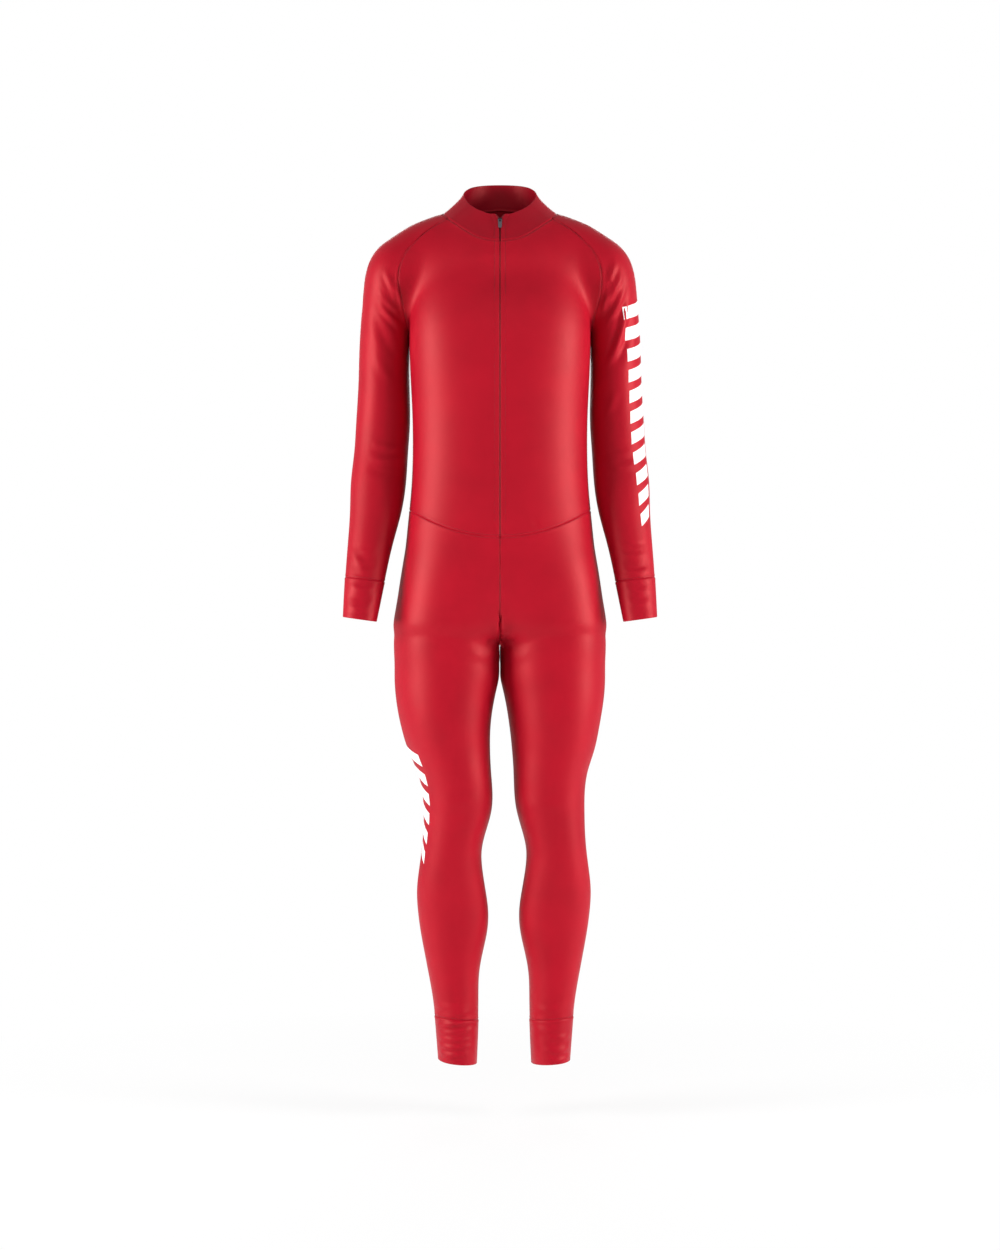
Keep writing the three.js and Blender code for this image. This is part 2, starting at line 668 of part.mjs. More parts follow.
function rimAt(angle) {
  const a = THREE.MathUtils.degToRad(angle);
  const level = (COLLAR_FRONT_RIM + COLLAR_BACK_RIM) / 2;
  const swing = (COLLAR_BACK_RIM - COLLAR_FRONT_RIM) / 2;
  const z = level - swing * Math.cos(a) + (COLLAR_SIDE_RIM - level) * Math.sin(a) ** 2;
  return point(RIM.half * Math.sin(a), -(angle < 90 ? RIM.front : RIM.back) * Math.cos(a), z);
}

const edgeAt = (t) => FRONT_EDGE + ZIP_FLARE * Math.max((t - SLIDER_HEIGHT) / (1 - SLIDER_HEIGHT), 0);

function collarHalf() {
  return COLLAR_ROWS.map((t) => {
    const row = collarSeam.map((base, j) => between(base, rimAt(collarAngles[j]), t));
    const slide = edgeAt(t) - row[0].x;
    // The front edge keeps its distance from the zip; the rest of the band eases back to its place.
    return row.map((p, j) => point(p.x + slide * Math.max(1 - j / 4, 0), p.y, p.z));
  });
}

const halfCollar = collarHalf();

function collar() {
  const grid = halfCollar.map((row) => [...row, ...reversed(mirrored(row)).slice(1)]);
  const normals = gridNormals(grid, point(0, 4, 0));
  // Along its seam the band's edge is cut square to the body, so the two edges lie side by side.
  normals[0] = grid[0].map((p) => outward(joined, p));
  add('collar', wall(grid, { thickness: DOUBLE, normals, open: [COLLAR_ROWS.length - 1] }), 'knit');
}

// ---- The zip: two tapes behind the edges, the closed chain between them, and the slider ----

const TAPE = { width: 10, thickness: 1, inner: 2.3 };
const CHAIN = { half: 2.2, proud: 0.3 };

// The middle of the zip from the rim down: each row's place, its line across, and which way it faces.
function zipRows() {
  const centre = point(0, 4, 0);
  const normals = gridNormals(halfCollar, centre);
  const collarPart = halfCollar.map((row, r) => ({ edge: row[0], next: row[1], normal: normals[r][0] }));
  const frontPart = frontGrid.slice(1).map((row) => ({
    edge: row[0], next: row[1], normal: outward(bodyForm, row[0]),
  }));
  return [...collarPart.reverse(), ...frontPart];
}

const zip = zipRows();
const seamRow = COLLAR_ROWS.length - 1;

// A point behind the cloth at a distance x from the middle, on the line across its row.
function behind(row, x, depth) {
  const { edge, next, normal } = row;
  const p = between(edge, next, (x - edge.x) / (next.x - edge.x));
  return p.addScaledVector(normal, -depth);
}

function tape(side) {
  const grid = zip.map((row, r) => {
    const depth = r <= seamRow + 1 ? DOUBLE + GAP : CLOTH + GAP;
    const from = row.edge.x - TAPE.inner;
    return [0, 0.5, 1].map((t) => behind(row, from + TAPE.width * t, depth));
  });
  const normals = zip.map((row) => [row.normal, row.normal, row.normal]);
  const last = zip.length - 1;
  const mirror = (rows) => rows.map((row) => acrossOver(side, row));
  const shape = { thickness: TAPE.thickness, normals: mirror(normals), open: [0, last] };
  add(`zip_tape_${sideName(side)}`, wall(mirror(grid), shape), 'zip');
}

function chain() {
  const rows = zip.slice(COLLAR_ROWS.length - 1 - COLLAR_ROWS.indexOf(SLIDER_HEIGHT));
  const depths = rows.map((_, r) => (r <= 3 ? DOUBLE : CLOTH) - 0.15);
  const corner = (row, depth, x) => {
    const p = behind(row, CHAIN.half, depth);
    return point(x, p.y, p.z);
  };
  const outer = rows.flatMap((row) => [-CHAIN.half, CHAIN.half].map((x) => corner(row, -CHAIN.proud, x)));
  const lining = rows.flatMap((row, r) => [-CHAIN.half, CHAIN.half].map((x) => corner(row, depths[r], x)));
  const quads = rows.slice(1).map((_, r) => [2 * r, 2 * r + 1, 2 * r + 3, 2 * r + 2]);
  const normals = rows.flatMap((row) => [row.normal, row.normal]);
  const down = rows.map((_, r) => r);
  const rim = [...down.map((r) => 2 * r + 1), ...reversed(down).map((r) => 2 * r)];
  add('zip_chain', solid(outer, lining, turned(quads, outer, normals), [rim]), 'zip');
}

// ---- The slider, and the pull tab that swings on its bridge ----
// In their own frame x runs across, y goes into the cloth, z goes up the collar, and the hinge is at 0.

const PLATE = { top: 7.6, foot: 6, height: 9, thick: 1.2, clear: 0.3 };
const BRIDGE = { width: 1.6, reach: 2.9, leg: 0.9, hole: 2.6 };
const POST = { width: 1.6, from: 2 };
const TAB = { width: 7, long: 16.5, foot: 5.6, thick: 1.2, bar: 0.7, slot: 4.2, rest: 5 };
const HINGE_DEPTH = CHAIN.proud + PLATE.clear + PLATE.thick + BRIDGE.hole / 2; // in front of the cloth

function box(x, y, z) {
  const size = [x[1] - x[0], y[1] - y[0], z[1] - z[0]];
  return new THREE.BoxGeometry(...size).translate((x[0] + x[1]) / 2, (y[0] + y[1]) / 2, (z[0] + z[1]) / 2);
}

// An outline across the front, from y = near to y = far.
function slab(corners, near, far, hole) {
  const shape = new THREE.Shape(corners.map(([x, z]) => new THREE.Vector2(x, z)));
  if (hole) shape.holes.push(new THREE.Path(hole.map(([x, z]) => new THREE.Vector2(x, z))));
  const geometry = new THREE.ExtrudeGeometry(shape, { depth: far - near, bevelEnabled: false });
  return geometry.rotateX(Math.PI / 2).translate(0, far, 0);
}

function toSolid(geometry) {
  geometry.deleteAttribute('normal');
  geometry.deleteAttribute('uv');
  const merged = mergeVertices(geometry, 1e-4);
  return new wasm.Manifold(new wasm.Mesh({
    numProp: 3,
    vertProperties: new Float32Array(merged.attributes.position.array),
    triVerts: new Uint32Array(merged.index.array),
  }));
}

function joinedSolid(geometries) {
  const mesh = geometries.map(toSolid).reduce((whole, piece) => whole.add(piece)).getMesh();
  const geometry = new THREE.BufferGeometry();
  geometry.setAttribute('position', new THREE.Float32BufferAttribute(mesh.vertProperties, 3));
  geometry.setIndex(Array.from(mesh.triVerts));
  geometry.computeVertexNormals();
  return geometry;
}

function plateOutline(grow) {
  const h = PLATE.height / 2;
  const [top, foot] = [PLATE.top / 2, PLATE.foot / 2];
  return [[-foot + grow, -h], [foot - grow, -h], [top, h - 3], [top - 1.4, h], [1.4 - top, h], [-top, h - 3]];
}

function slider(group) {
  const cloth = HINGE_DEPTH; // the cloth's face is this far behind the hinge
  const face = cloth - CHAIN.proud - PLATE.clear - PLATE.thick;
  const behindTape = cloth + DOUBLE + GAP + TAPE.thickness + GAP;
  const arch = [-BRIDGE.width / 2, BRIDGE.width / 2];
  const post = [-POST.width / 2, POST.width / 2];
  const top = face - BRIDGE.hole;
  const { reach, leg: thick } = BRIDGE;
  add('slider', joinedSolid([
    slab(plateOutline(0), face, face + PLATE.thick),
    slab(plateOutline(0.4), behindTape, behindTape + 1),
    box(post, [face + 0.1, behindTape + 0.1], [POST.from, PLATE.height / 2 - 0.2]),
    box(arch, [top - thick, face + 0.1], [reach - thick, reach]),
    box(arch, [top - thick, face + 0.1], [-reach, thick - reach]),
    box(arch, [top - thick, top], [-reach, reach]),
  ]), 'hardware', group);
}

function pullTab(group) {
  const { width, foot, long, bar, slot } = TAB;
  const rail = BRIDGE.width / 2 + 0.4;
  const outline = [
    [-width / 2, bar - 0.4], [-width / 2 + 0.5, bar], [width / 2 - 0.5, bar], [width / 2, bar - 0.4],
    [foot / 2, -long + 1.6], [foot / 2 - 1.4, -long], [1.4 - foot / 2, -long], [-foot / 2, -long + 1.6],
  ];
  const hole = [[-rail, -bar], [-rail, -slot], [rail, -slot], [rail, -bar]];
  const tab = add('pull_tab', slab(outline, -TAB.thick / 2, TAB.thick / 2, hole), 'pull', group);
  tab.rotation.x = THREE.MathUtils.degToRad(TAB.rest);
}

function zipPull() {
  const row = zip[COLLAR_ROWS.length - 1 - COLLAR_ROWS.indexOf(SLIDER_HEIGHT)];
  const foot = halfCollar[0][0];
  const tilt = Math.atan2(row.edge.y - foot.y, row.edge.z - foot.z);
  const group = new THREE.Group();
  const out = point(0, -Math.cos(tilt), Math.sin(tilt));
  group.position.set(0, row.edge.y, row.edge.z).addScaledVector(out, HINGE_DEPTH);
  group.rotation.x = -tilt;
  slider(group);
  pullTab(group);
  suit.add(group);
}

front(1);
front(-1);
back();
sleeve(1);
sleeve(-1);
collar();
legPiece(1);
legPiece(-1);
tape(1);
tape(-1);
chain();
zipPull();

export default suit;
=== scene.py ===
"""A nordic race suit in one piece, in stretch knit, filled out as it is worn with nobody in it.

Metres in Blender, +Z up, the suit faces -Y. Its form is worked out in millimetres, like a pattern.
"""
import math
from functools import lru_cache

import bpy
import numpy as np
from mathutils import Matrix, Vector


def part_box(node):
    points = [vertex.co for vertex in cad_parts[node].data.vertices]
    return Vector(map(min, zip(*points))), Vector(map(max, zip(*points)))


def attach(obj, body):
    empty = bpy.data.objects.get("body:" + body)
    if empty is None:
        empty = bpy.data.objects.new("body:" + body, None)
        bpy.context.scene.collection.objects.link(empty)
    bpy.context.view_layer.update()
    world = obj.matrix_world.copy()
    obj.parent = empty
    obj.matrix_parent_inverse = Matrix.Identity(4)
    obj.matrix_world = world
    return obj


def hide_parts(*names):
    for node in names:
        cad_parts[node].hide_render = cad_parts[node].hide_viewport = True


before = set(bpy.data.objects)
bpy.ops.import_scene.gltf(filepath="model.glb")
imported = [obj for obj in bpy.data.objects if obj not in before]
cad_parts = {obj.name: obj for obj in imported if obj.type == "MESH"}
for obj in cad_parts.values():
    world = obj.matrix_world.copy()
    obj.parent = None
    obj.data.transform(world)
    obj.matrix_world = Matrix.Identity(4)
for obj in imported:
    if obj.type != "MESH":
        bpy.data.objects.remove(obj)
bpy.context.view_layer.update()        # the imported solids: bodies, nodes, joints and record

bl_info = {
    "name": "Nordic ski suit",
    "version": (1, 0, 0),
    "blender": (4, 5, 0),
    "location": "View3D > Sidebar > Ski Suit",
    "description": "Builds a close-fitting nordic ski suit with raglan sleeves and a front zip",
    "category": "Add Mesh",
}

MM = 0.001
SUIT = "suit"            # the body that all the cloth rides on
GAP = 0.3                # between two pieces along a seam
RIM_ROUND = 0.4          # how far a cloth's edge bulges, as a share of its thickness
SHARP_DEGREES = 55       # a turn sharper than this is shaded as an edge
LEFT, RIGHT = 1, -1      # the wearer's sides: left is +X

# ---- Tables of the suit's form: columns by name, smoothed between rows ----


def spline(keys, values):
    """A smooth curve through values at keys, level beyond its ends. Values may be points."""
    keys, values = np.asarray(keys, float), np.asarray(values, float)
    count, steps = len(keys), np.diff(keys)
    system, right = np.eye(count), np.zeros_like(values)
    for i in range(1, count - 1):
        system[i, i - 1:i + 2] = steps[i - 1], 2 * (steps[i - 1] + steps[i]), steps[i]
        after = (values[i + 1] - values[i]) / steps[i]
        before = (values[i] - values[i - 1]) / steps[i - 1]
        right[i] = 6 * (after - before)
    bend = np.linalg.solve(system, right)

    def at(x):
        x = np.clip(np.asarray(x, float), keys[0], keys[-1])
        i = np.clip(np.searchsorted(keys, x) - 1, 0, count - 2)
        wide = x.shape + (1,) * (values.ndim - 1)
        step = steps[i].reshape(wide)
        a = (keys[i + 1] - x).reshape(wide) / step
        b = 1 - a
        curve = ((a ** 3 - a) * bend[i] + (b ** 3 - b) * bend[i + 1]) * step ** 2 / 6
        return a * values[i] + b * values[i + 1] + curve

    return at


def table(columns, rows):
    """Each column after the first as a quick curve of the first."""
    rows = sorted(rows)
    keys = [row[0] for row in rows]
    fine = np.linspace(keys[0], keys[-1], 4000)
    curves = {}
    for k, name in enumerate(columns.split()[1:], 1):
        heights = spline(keys, [row[k] for row in rows])(fine)
        curves[name] = lambda x, heights=heights: np.interp(x, fine, heights)
    return curves


# Level sections: half width, depth in front and behind, and how square (2 is an ellipse).
TORSO = table("z half front back square", [
    (-30, 95, 62, 74, 2.2),
    (-60, 122, 78, 84, 2.3),
    (-100, 140, 93, 95, 2.4),
    (-145, 150, 107, 101, 2.5),
    (-190, 153.5, 114, 102, 2.6),
    (-250, 153, 113, 97, 2.5),
    (-330, 149, 104, 86, 2.3),
    (-400, 148, 99, 76, 2.25),
    (-470, 151, 99, 80, 2.3),
    (-540, 158, 102, 96, 2.4),
    (-600, 160, 101, 110, 2.5),
    (-660, 154, 94, 114, 2.5),
    (-720, 150, 84, 106, 2.5),
])
# The shoulders, as sections across: centre height and depth, half height, half depth.
YOKE = table("x height tall depth deep", [
    (0, -48, 48, 6, 74),
    (60, -48, 50, 6, 72),
    (100, -53, 54, 5, 66),
    (140, -68, 57, 4, 60),
    (180, -89, 59, 2, 55),
    (230, -108, 56, 0, 50),
])
NECK = table("z half front back", [
    (-80, 70, 82, 74),
    (-40, 66, 72, 72),
    (0, 63, 60, 69),
    (40, 61.5, 52, 66),
    (80, 61.5, 47, 64),
])
# An arm and a leg: x and depth place each section's centre.
ARM = table("z x depth half deep square", [
    (-60, 184, 4, 40, 52, 2),
    (-110, 187.5, 8, 42, 55, 2),
    (-170, 193.5, 17, 43, 57, 2.05),
    (-230, 197.5, 25, 43, 57, 2.1),
    (-290, 198.5, 28, 44, 55, 2.1),
    (-350, 200, 26, 46, 50, 2.1),
    (-400, 203, 20, 46, 46, 2.1),
    (-450, 207, 11, 47, 46, 2.1),
    (-500, 211, -1, 44, 44, 2.1),
    (-560, 220, -18, 38, 38, 2.1),
    (-620, 228, -34, 33.5, 32, 2.1),
    (-690, 236, -52, 28, 28, 2.1),
])
LEG = table("z x depth half front back square", [
    (-560, 80, 8, 58, 84, 88, 2.2),
    (-640, 88, 10, 73, 90, 98, 2.3),
    (-720, 90.2, 10, 89.7, 98, 100.5, 2.2),
    (-760, 89.9, 9, 89.2, 95, 92.5, 2.15),
    (-785, 90.3, 8.5, 88.7, 93.5, 89, 2.1),
    (-806, 92, 8, 86, 92, 86, 2.1),
    (-874, 92, 5, 75, 84, 76, 2.1),
    (-908, 88.4, 3.5, 69.5, 77, 68, 2.1),
    (-942, 82.3, 2, 63, 72, 62, 2.1),
    (-1010, 79, 0, 57.5, 62, 54, 2.1),
    (-1078, 89, 3, 51, 56, 58, 2.1),
    (-1112, 90.5, 5, 54, 54, 63, 2.1),
    (-1146, 89.5, 7, 58.3, 51, 68, 2.1),
    (-1180, 86.5, 8.5, 59.8, 48, 68, 2.1),
    (-1214, 85, 9, 57, 46, 64, 2.1),
    (-1248, 85.4, 8.5, 50.5, 44, 58, 2.1),
    (-1282, 85.4, 7, 44, 42.5, 51, 2.1),
    (-1333, 82, 5, 38.5, 41, 46, 2.1),
    (-1384, 80, 3, 35.4, 42, 45, 2.1),
    (-1440, 79, 2, 32, 44, 46, 2.1),
])
LEAN = 7           # both lower legs stand this far towards +X
TWIST = 0.075      # each leg's sections turn by this slope
ARM_FORK = -215    # below these heights an arm, or a leg, is apart from the rest
LEG_FORK = -728

# ---- The smooth form, in millimetres: below zero inside, above zero outside ----


def smooth_min(a, b, k):
    return np.minimum(a, b) - np.maximum(k - np.abs(a - b), 0) ** 2 / (4 * np.maximum(k, 1e-6))


def smooth_max(a, b, k):
    return -smooth_min(-a, -b, k)


def oval(u, v, a, b, n):
    return ((np.abs(u) / a) ** n + (np.abs(v) / b) ** n) ** (1 / n)


def ease(x, low, high):
    t = np.clip((x - low) / (high - low), 0, 1)
    return t * t * (3 - 2 * t)


def arm(p, side):
    x, y, z = p.T
    ring = oval(x * side - ARM["x"](z), y - ARM["depth"](z), ARM["half"](z), ARM["deep"](z), ARM["square"](z))
    return smooth_max((ring - 1) * 45, z + 58, 60)


def leg(p, side):
    x, y, z = p.T
    across = (x - LEAN * ease(-z, 840, 1030) + TWIST * y) * side
    back = y - LEG["depth"](z)
    deep = np.where(back < 0, LEG["front"](z), LEG["back"](z))
    ring = oval(across - LEG["x"](z), back, LEG["half"](z), deep, LEG["square"](z))
    return smooth_max((ring - 1) * 75, z + 570, 80)


def trunk(p):
    x, y, z = p.T
    deep = np.where(y < 0, TORSO["front"](z), TORSO["back"](z))
    tube = (oval(x, y, TORSO["half"](z), deep, TORSO["square"](z)) - 1) * 120
    torso = smooth_max(smooth_max(tube, z + 22, 50), -712 - z, 60)
    s = np.abs(x)
    bar = (oval(z - YOKE["height"](s), y - YOKE["depth"](s), YOKE["tall"](s), YOKE["deep"](s), 2.1) - 1) * 58
    yoke = smooth_max(bar, s - 205, 60)
    round_neck = np.where(y < 0, NECK["front"](z), NECK["back"](z))
    neck = smooth_max((oval(x, y, NECK["half"](z), round_neck, 2) - 1) * 64, -90 - z, 30)
    return smooth_min(smooth_min(torso, yoke, 46), neck, 40)


def hips(p, legs):
    return smooth_min(trunk(p), legs, 50 * ease(p[:, 2], -750, -690))


def both_legs(p):
    return smooth_min(leg(p, LEFT), leg(p, RIGHT), 40 * ease(p[:, 2], LEG_FORK, -700))


def joined(p):
    k = 40 * ease(p[:, 2], ARM_FORK, -130)
    return smooth_min(smooth_min(hips(p, both_legs(p)), arm(p, LEFT), k), arm(p, RIGHT), k)


def body_form(p):
    return np.where(p[:, 2] < ARM_FORK, hips(p, both_legs(p)), joined(p))


def sleeve_form(side):
    return lambda p: np.where(p[:, 2] < ARM_FORK, arm(p, side), joined(p))


def leg_skin(side):
    return lambda p: np.where(p[:, 2] < LEG_FORK, hips(p, leg(p, side)), hips(p, both_legs(p)))


def leg_form(side):
    skin = leg_skin(side)
    return lambda p: np.maximum(skin(p), GAP / 2 - p[:, 0] * side)


# ---- Points on the form ----


def slope(form, p, reach=0.5):
    shifts = np.concatenate([np.eye(3), -np.eye(3)]) * reach
    around = form((p[None] + shifts[:, None]).reshape(-1, 3)).reshape(6, -1)
    return ((around[:3] - around[3:]) / (2 * reach)).T


def unit(v):
    return v / np.maximum(np.linalg.norm(v, axis=-1, keepdims=True), 1e-9)


def settle(form, points, steps=6):
    """Moves points straight onto the form."""
    p = points.reshape(-1, 3)
    for _ in range(steps):
        g = slope(form, p)
        push = np.clip(form(p) / np.maximum((g * g).sum(1), 0.05), -20, 20)
        p = p - g * push[:, None]
    return p.reshape(points.shape)


def meet(form, start, end):
    """Where straight lines first enter the form."""
    start, end = np.atleast_2d(start).astype(float), np.atleast_2d(end).astype(float)
    steps = 60
    ways = np.arange(1, steps + 1) / steps
    tested = start[None] + (end - start)[None] * ways[:, None, None]
    inside = form(tested.reshape(-1, 3)).reshape(steps, -1) < 0
    first = np.where(inside.any(0), inside.argmax(0), steps - 1)
    near, far = first / steps, (first + 1) / steps
    for _ in range(20):
        middle = (near + far) / 2
        entered = form(start + (end - start) * middle[:, None]) < 0
        near, far = np.where(entered, near, middle), np.where(entered, middle, far)
    return start + (end - start) * far[:, None]


def on_front(form, x, z):
    return meet(form, (x, -230, z), (x, 0, z))[0]


def on_back(form, x, z):
    return meet(form, (x, 230, z), (x, 0, z))[0]


def evenly(points, cuts):
    points = np.asarray(points, float)
    run = np.concatenate([[0], np.cumsum(np.linalg.norm(np.diff(points, axis=0), axis=1))])
    at = np.linspace(0, run[-1], cuts + 1)
    return np.stack([np.interp(at, run, points[:, k]) for k in range(3)], 1)


def through(points, cuts):
    """An even chain along a smooth curve through given points."""
    points = np.asarray(points, float)
    run = np.concatenate([[0], np.cumsum(np.linalg.norm(np.diff(points, axis=0), axis=1))])
    return evenly(spline(run, points)(np.linspace(0, run[-1], 6 * cuts)), cuts)


def seam_line(form, guide, cuts):
    fine = through(guide, 48)
    fine[1:-1] = settle(form, fine[1:-1])
    return evenly(fine, cuts)


def mirrored(points):
    return points * np.array([-1, 1, 1])


# ---- The cut: seams of the left half; the torso is the same on the right ----

CUTS = {"front": 8, "neck": 4, "back_neck": 12, "raglan": 8, "side": 8, "under_front": 4, "under_back": 5}
SLEEVE_ROWS, LEG_ROWS = 16, 15
FRONT_EDGE = 2.6         # from the middle of the zip to each front edge
NECK_CORNERS = (61, 122)  # angles of the raglan seams on the collar, from the front
COLLAR_SEAM = table("angle height", [
    (0, -54), (20, -48), (40, -31), (60, -11), (75, 0), (90, 6), (110, 11), (135, 15), (180, 20),
])
COLLAR_RIM = {"front": -5, "side": 37, "back": 63}
COLLAR_RING = {"half": 62, "front": 58, "back": 65}
COLLAR_SHARES = [0, 0.41, 0.74, 1]   # heights of the collar's guide rows; the slider is on the third
ZIP_FLARE = 6            # how far each edge opens above the slider
WAIST = {"front": -548, "side": -500, "back": -480, "reach": 155}
CROTCH = (0, 8, -640)    # the middle of the arc of the seam between the legs
WRIST = {"seam": -618, "hem": -685, "drop": 4}
ANKLE = {"seam": -1362, "hem": -1436, "drop": 3}
FRONT_RAGLAN = [
    (103, -19), (127, -35), (142, -49), (154, -60), (163, -76),
    (168, -91), (171, -111), (170, -131), (166, -151), (161, -171),
]
BACK_RAGLAN = [(95, -20), (120, -47), (140, -80), (154, -115), (160, -150), (159, -178)]
WAIST_GUIDE = [0, 20, 55, 90, 118, 138, 148]


def collar_seam_at(degrees):
    a = np.radians(degrees)
    z = COLLAR_SEAM["height"](degrees)
    far = np.stack([260 * np.sin(a), 4 - 260 * np.cos(a), z], -1)
    return meet(joined, far, np.stack([0 * a, 0 * a + 4, z], -1))


def waist_at(x, front):
    z = (WAIST["front"] if front else WAIST["back"])
    z += (WAIST["side"] - z) * min(x / WAIST["reach"], 1) ** 2
    return (on_front if front else on_back)(body_form, x, z)


def under_at(degrees):
    """On the seam between the legs, by the angle from the front under to the back."""
    a = math.radians(degrees)
    centre = np.array(CROTCH, float)
    edge = centre + np.array([0, -200 * math.cos(a), -200 * math.sin(a)])
    return meet(lambda p: hips(p, both_legs(p)), edge, centre)[0]


@lru_cache(maxsize=None)
def seams():
    """Every seam as a chain of points on the form."""
    s = {}
    first = math.degrees(math.asin(FRONT_EDGE / 80))
    s["front_neck"] = collar_seam_at(np.linspace(first, NECK_CORNERS[0], CUTS["front"] + 1))
    s["front_neck"][0, 0] = FRONT_EDGE
    s["neck"] = collar_seam_at(np.linspace(*NECK_CORNERS, CUTS["neck"] + 1))
    half = collar_seam_at(np.linspace(NECK_CORNERS[1], 180, CUTS["back_neck"] // 2 + 1))
    s["half_back_neck"] = half
    s["back_neck"] = np.vstack([half, mirrored(half)[::-1][1:]])
    pit = meet(joined, (154, 14, -260), (154, 14, -120))[0]
    front_guide = [on_front(joined, x, z) for x, z in FRONT_RAGLAN]
    back_guide = [on_back(joined, x, z) for x, z in BACK_RAGLAN]
    s["front_raglan"] = seam_line(joined, [s["neck"][0], *front_guide, pit], CUTS["raglan"])
    s["back_raglan"] = seam_line(joined, [s["neck"][-1], *back_guide, pit], CUTS["raglan"])
    side = meet(body_form, (260, 6, WAIST["side"]), (0, 6, WAIST["side"]))[0]
    front = [waist_at(x, True) for x in WAIST_GUIDE]
    back = [waist_at(x, False) for x in WAIST_GUIDE[::-1]]
    s["waist_front"] = seam_line(body_form, [*front, side], CUTS["front"])
    s["waist_back"] = seam_line(body_form, [side, *back], CUTS["back_neck"] // 2)
    share = FRONT_EDGE / s["waist_front"][1, 0]
    corner = s["waist_front"][0] * (1 - share) + s["waist_front"][1] * share
    s["waist_cut"] = np.vstack([corner, s["waist_front"][1:]])
    down = [meet(body_form, (260, y, z), (0, y, z))[0] for y, z in ((8, -260), (5, -340), (5, -420))]
    s["side"] = seam_line(body_form, [pit, *down, side], CUTS["side"])
    centre = [on_front(body_form, FRONT_EDGE, z) for z in (-120, -190, -260, -330, -400, -470)]
    s["middle"] = seam_line(body_form, [s["front_neck"][0], *centre, corner], CUTS["raglan"] + CUTS["side"])
    s["middle"][:, 0] = FRONT_EDGE
    crotch = under_at(90)
    belly, seat = on_front(body_form, 0, -600), on_back(body_form, 0, -560)
    ahead = [under_at(a) for a in (0, 25, 45, 60, 72, 82)]
    behind = [under_at(a) for a in (98, 108, 120, 135, 150, 165, 180)]
    s["under_front"] = evenly([front[0], belly, *ahead, crotch], CUTS["under_front"])
    s["under_back"] = evenly([crotch, *behind, seat, back[-1]], CUTS["under_back"])
    return s


# ---- Guide grids, then the fine grids that are sewn up from them ----


def relax(form, grid, closed, passes):
    rows, columns = grid.shape[:2]
    across = np.arange(columns) if closed else np.arange(1, columns - 1)
    for _ in range(passes):
        before = grid.copy()
        beside = before[1:-1, (across + 1) % columns] + before[1:-1, (across - 1) % columns]
        mean = (beside + before[:-2, across] + before[2:, across]) / 4
        grid[1:-1, across] = settle(form, before[1:-1, across] * 0.4 + mean * 0.6, 3)
    return grid


def patch(form, top, bottom, first, last):
    """A four-sided grid between its edges."""
    rows, columns = len(first), len(top)
    u = np.linspace(0, 1, columns)[None, :, None]
    v = np.linspace(0, 1, rows)[:, None, None]
    across = first[:, None] * (1 - u) + last[:, None] * u
    down = top[None] * (1 - v) + bottom[None] * v
    ends = (first[0] * (1 - u) + last[0] * u) * (1 - v) + (first[-1] * (1 - u) + last[-1] * u) * v
    grid = across + down - ends
    grid[1:-1, 1:-1] = settle(form, grid[1:-1, 1:-1])
    grid[:, 0], grid[:, -1] = first, last
    grid[0, 1:-1], grid[-1, 1:-1] = top[1:-1], bottom[1:-1]
    return relax(form, grid, False, 6)


def tube(form, paths, rows, passes):
    columns = []
    for path in paths:
        fine = evenly(path, 60)
        fine[1:-1] = settle(form, fine[1:-1])
        columns.append(evenly(fine, rows))
    grid = np.stack(columns, 1)
    grid[1:-1] = settle(form, grid[1:-1], 3)
    return relax(form, grid, True, passes)


def limb_ring(form, limb, side, z, count, drop=0.0, turns=None):
    """A ring of a limb: angle 0 is its inner side and a quarter turn is its front."""
    a = 2 * np.pi * np.arange(count) / count if turns is None else np.asarray(turns)
    lean = LEAN * ease(-z, 840, 1030) if limb is LEG else 0
    height = z - drop * np.cos(a)
    middle = np.array([side * limb["x"](z) + lean, limb["depth"](z)])
    centre = np.stack([middle[0] + 0 * a, middle[1] + 0 * a, height], 1)
    far = centre + 130 * np.stack([-side * np.cos(a), -np.sin(a), 0 * a], 1)
    return meet(form, far, centre)


def stations(cells, cuts, near_first=(), near_last=()):
    """Places along a run of cells, a few of them close to its ends."""
    regular = np.arange(cells * cuts + 1) / cuts
    places = np.concatenate([regular, near_first, cells - np.asarray(near_last, float)])
    return np.unique(np.round(places, 4))


def weights(count, places, closed=False):
    """How far each guide point counts at each place."""
    if not closed:
        return spline(np.arange(count), np.eye(count))(places)
    wrap = np.arange(-4, count + 5)
    return spline(wrap, np.eye(count)[wrap % count])(places)


def chained(segments, places):
    """The places along seams that follow each other, each smooth up to its own ends."""
    out, start = np.zeros((len(places), 3)), 0
    for line in segments:
        cells = len(line) - 1
        here = (places >= start - 1e-9) & (places <= start + cells + 1e-9)
        out[here] = spline(np.arange(cells + 1), line)(places[here] - start)
        start += cells
    return out


def refined(guide, down, across, closed=False):
    rows = weights(guide.shape[0], down)
    columns = weights(guide.shape[1], across, closed)
    return np.einsum("ar,rcx,bc->abx", rows, guide, columns)


def grid_normals(grid, centre):
    across, down = np.gradient(grid, axis=1), np.gradient(grid, axis=0)
    normals = unit(np.cross(across, down))
    facing = ((grid - centre) * normals).sum() < 0
    return -normals if facing else normals
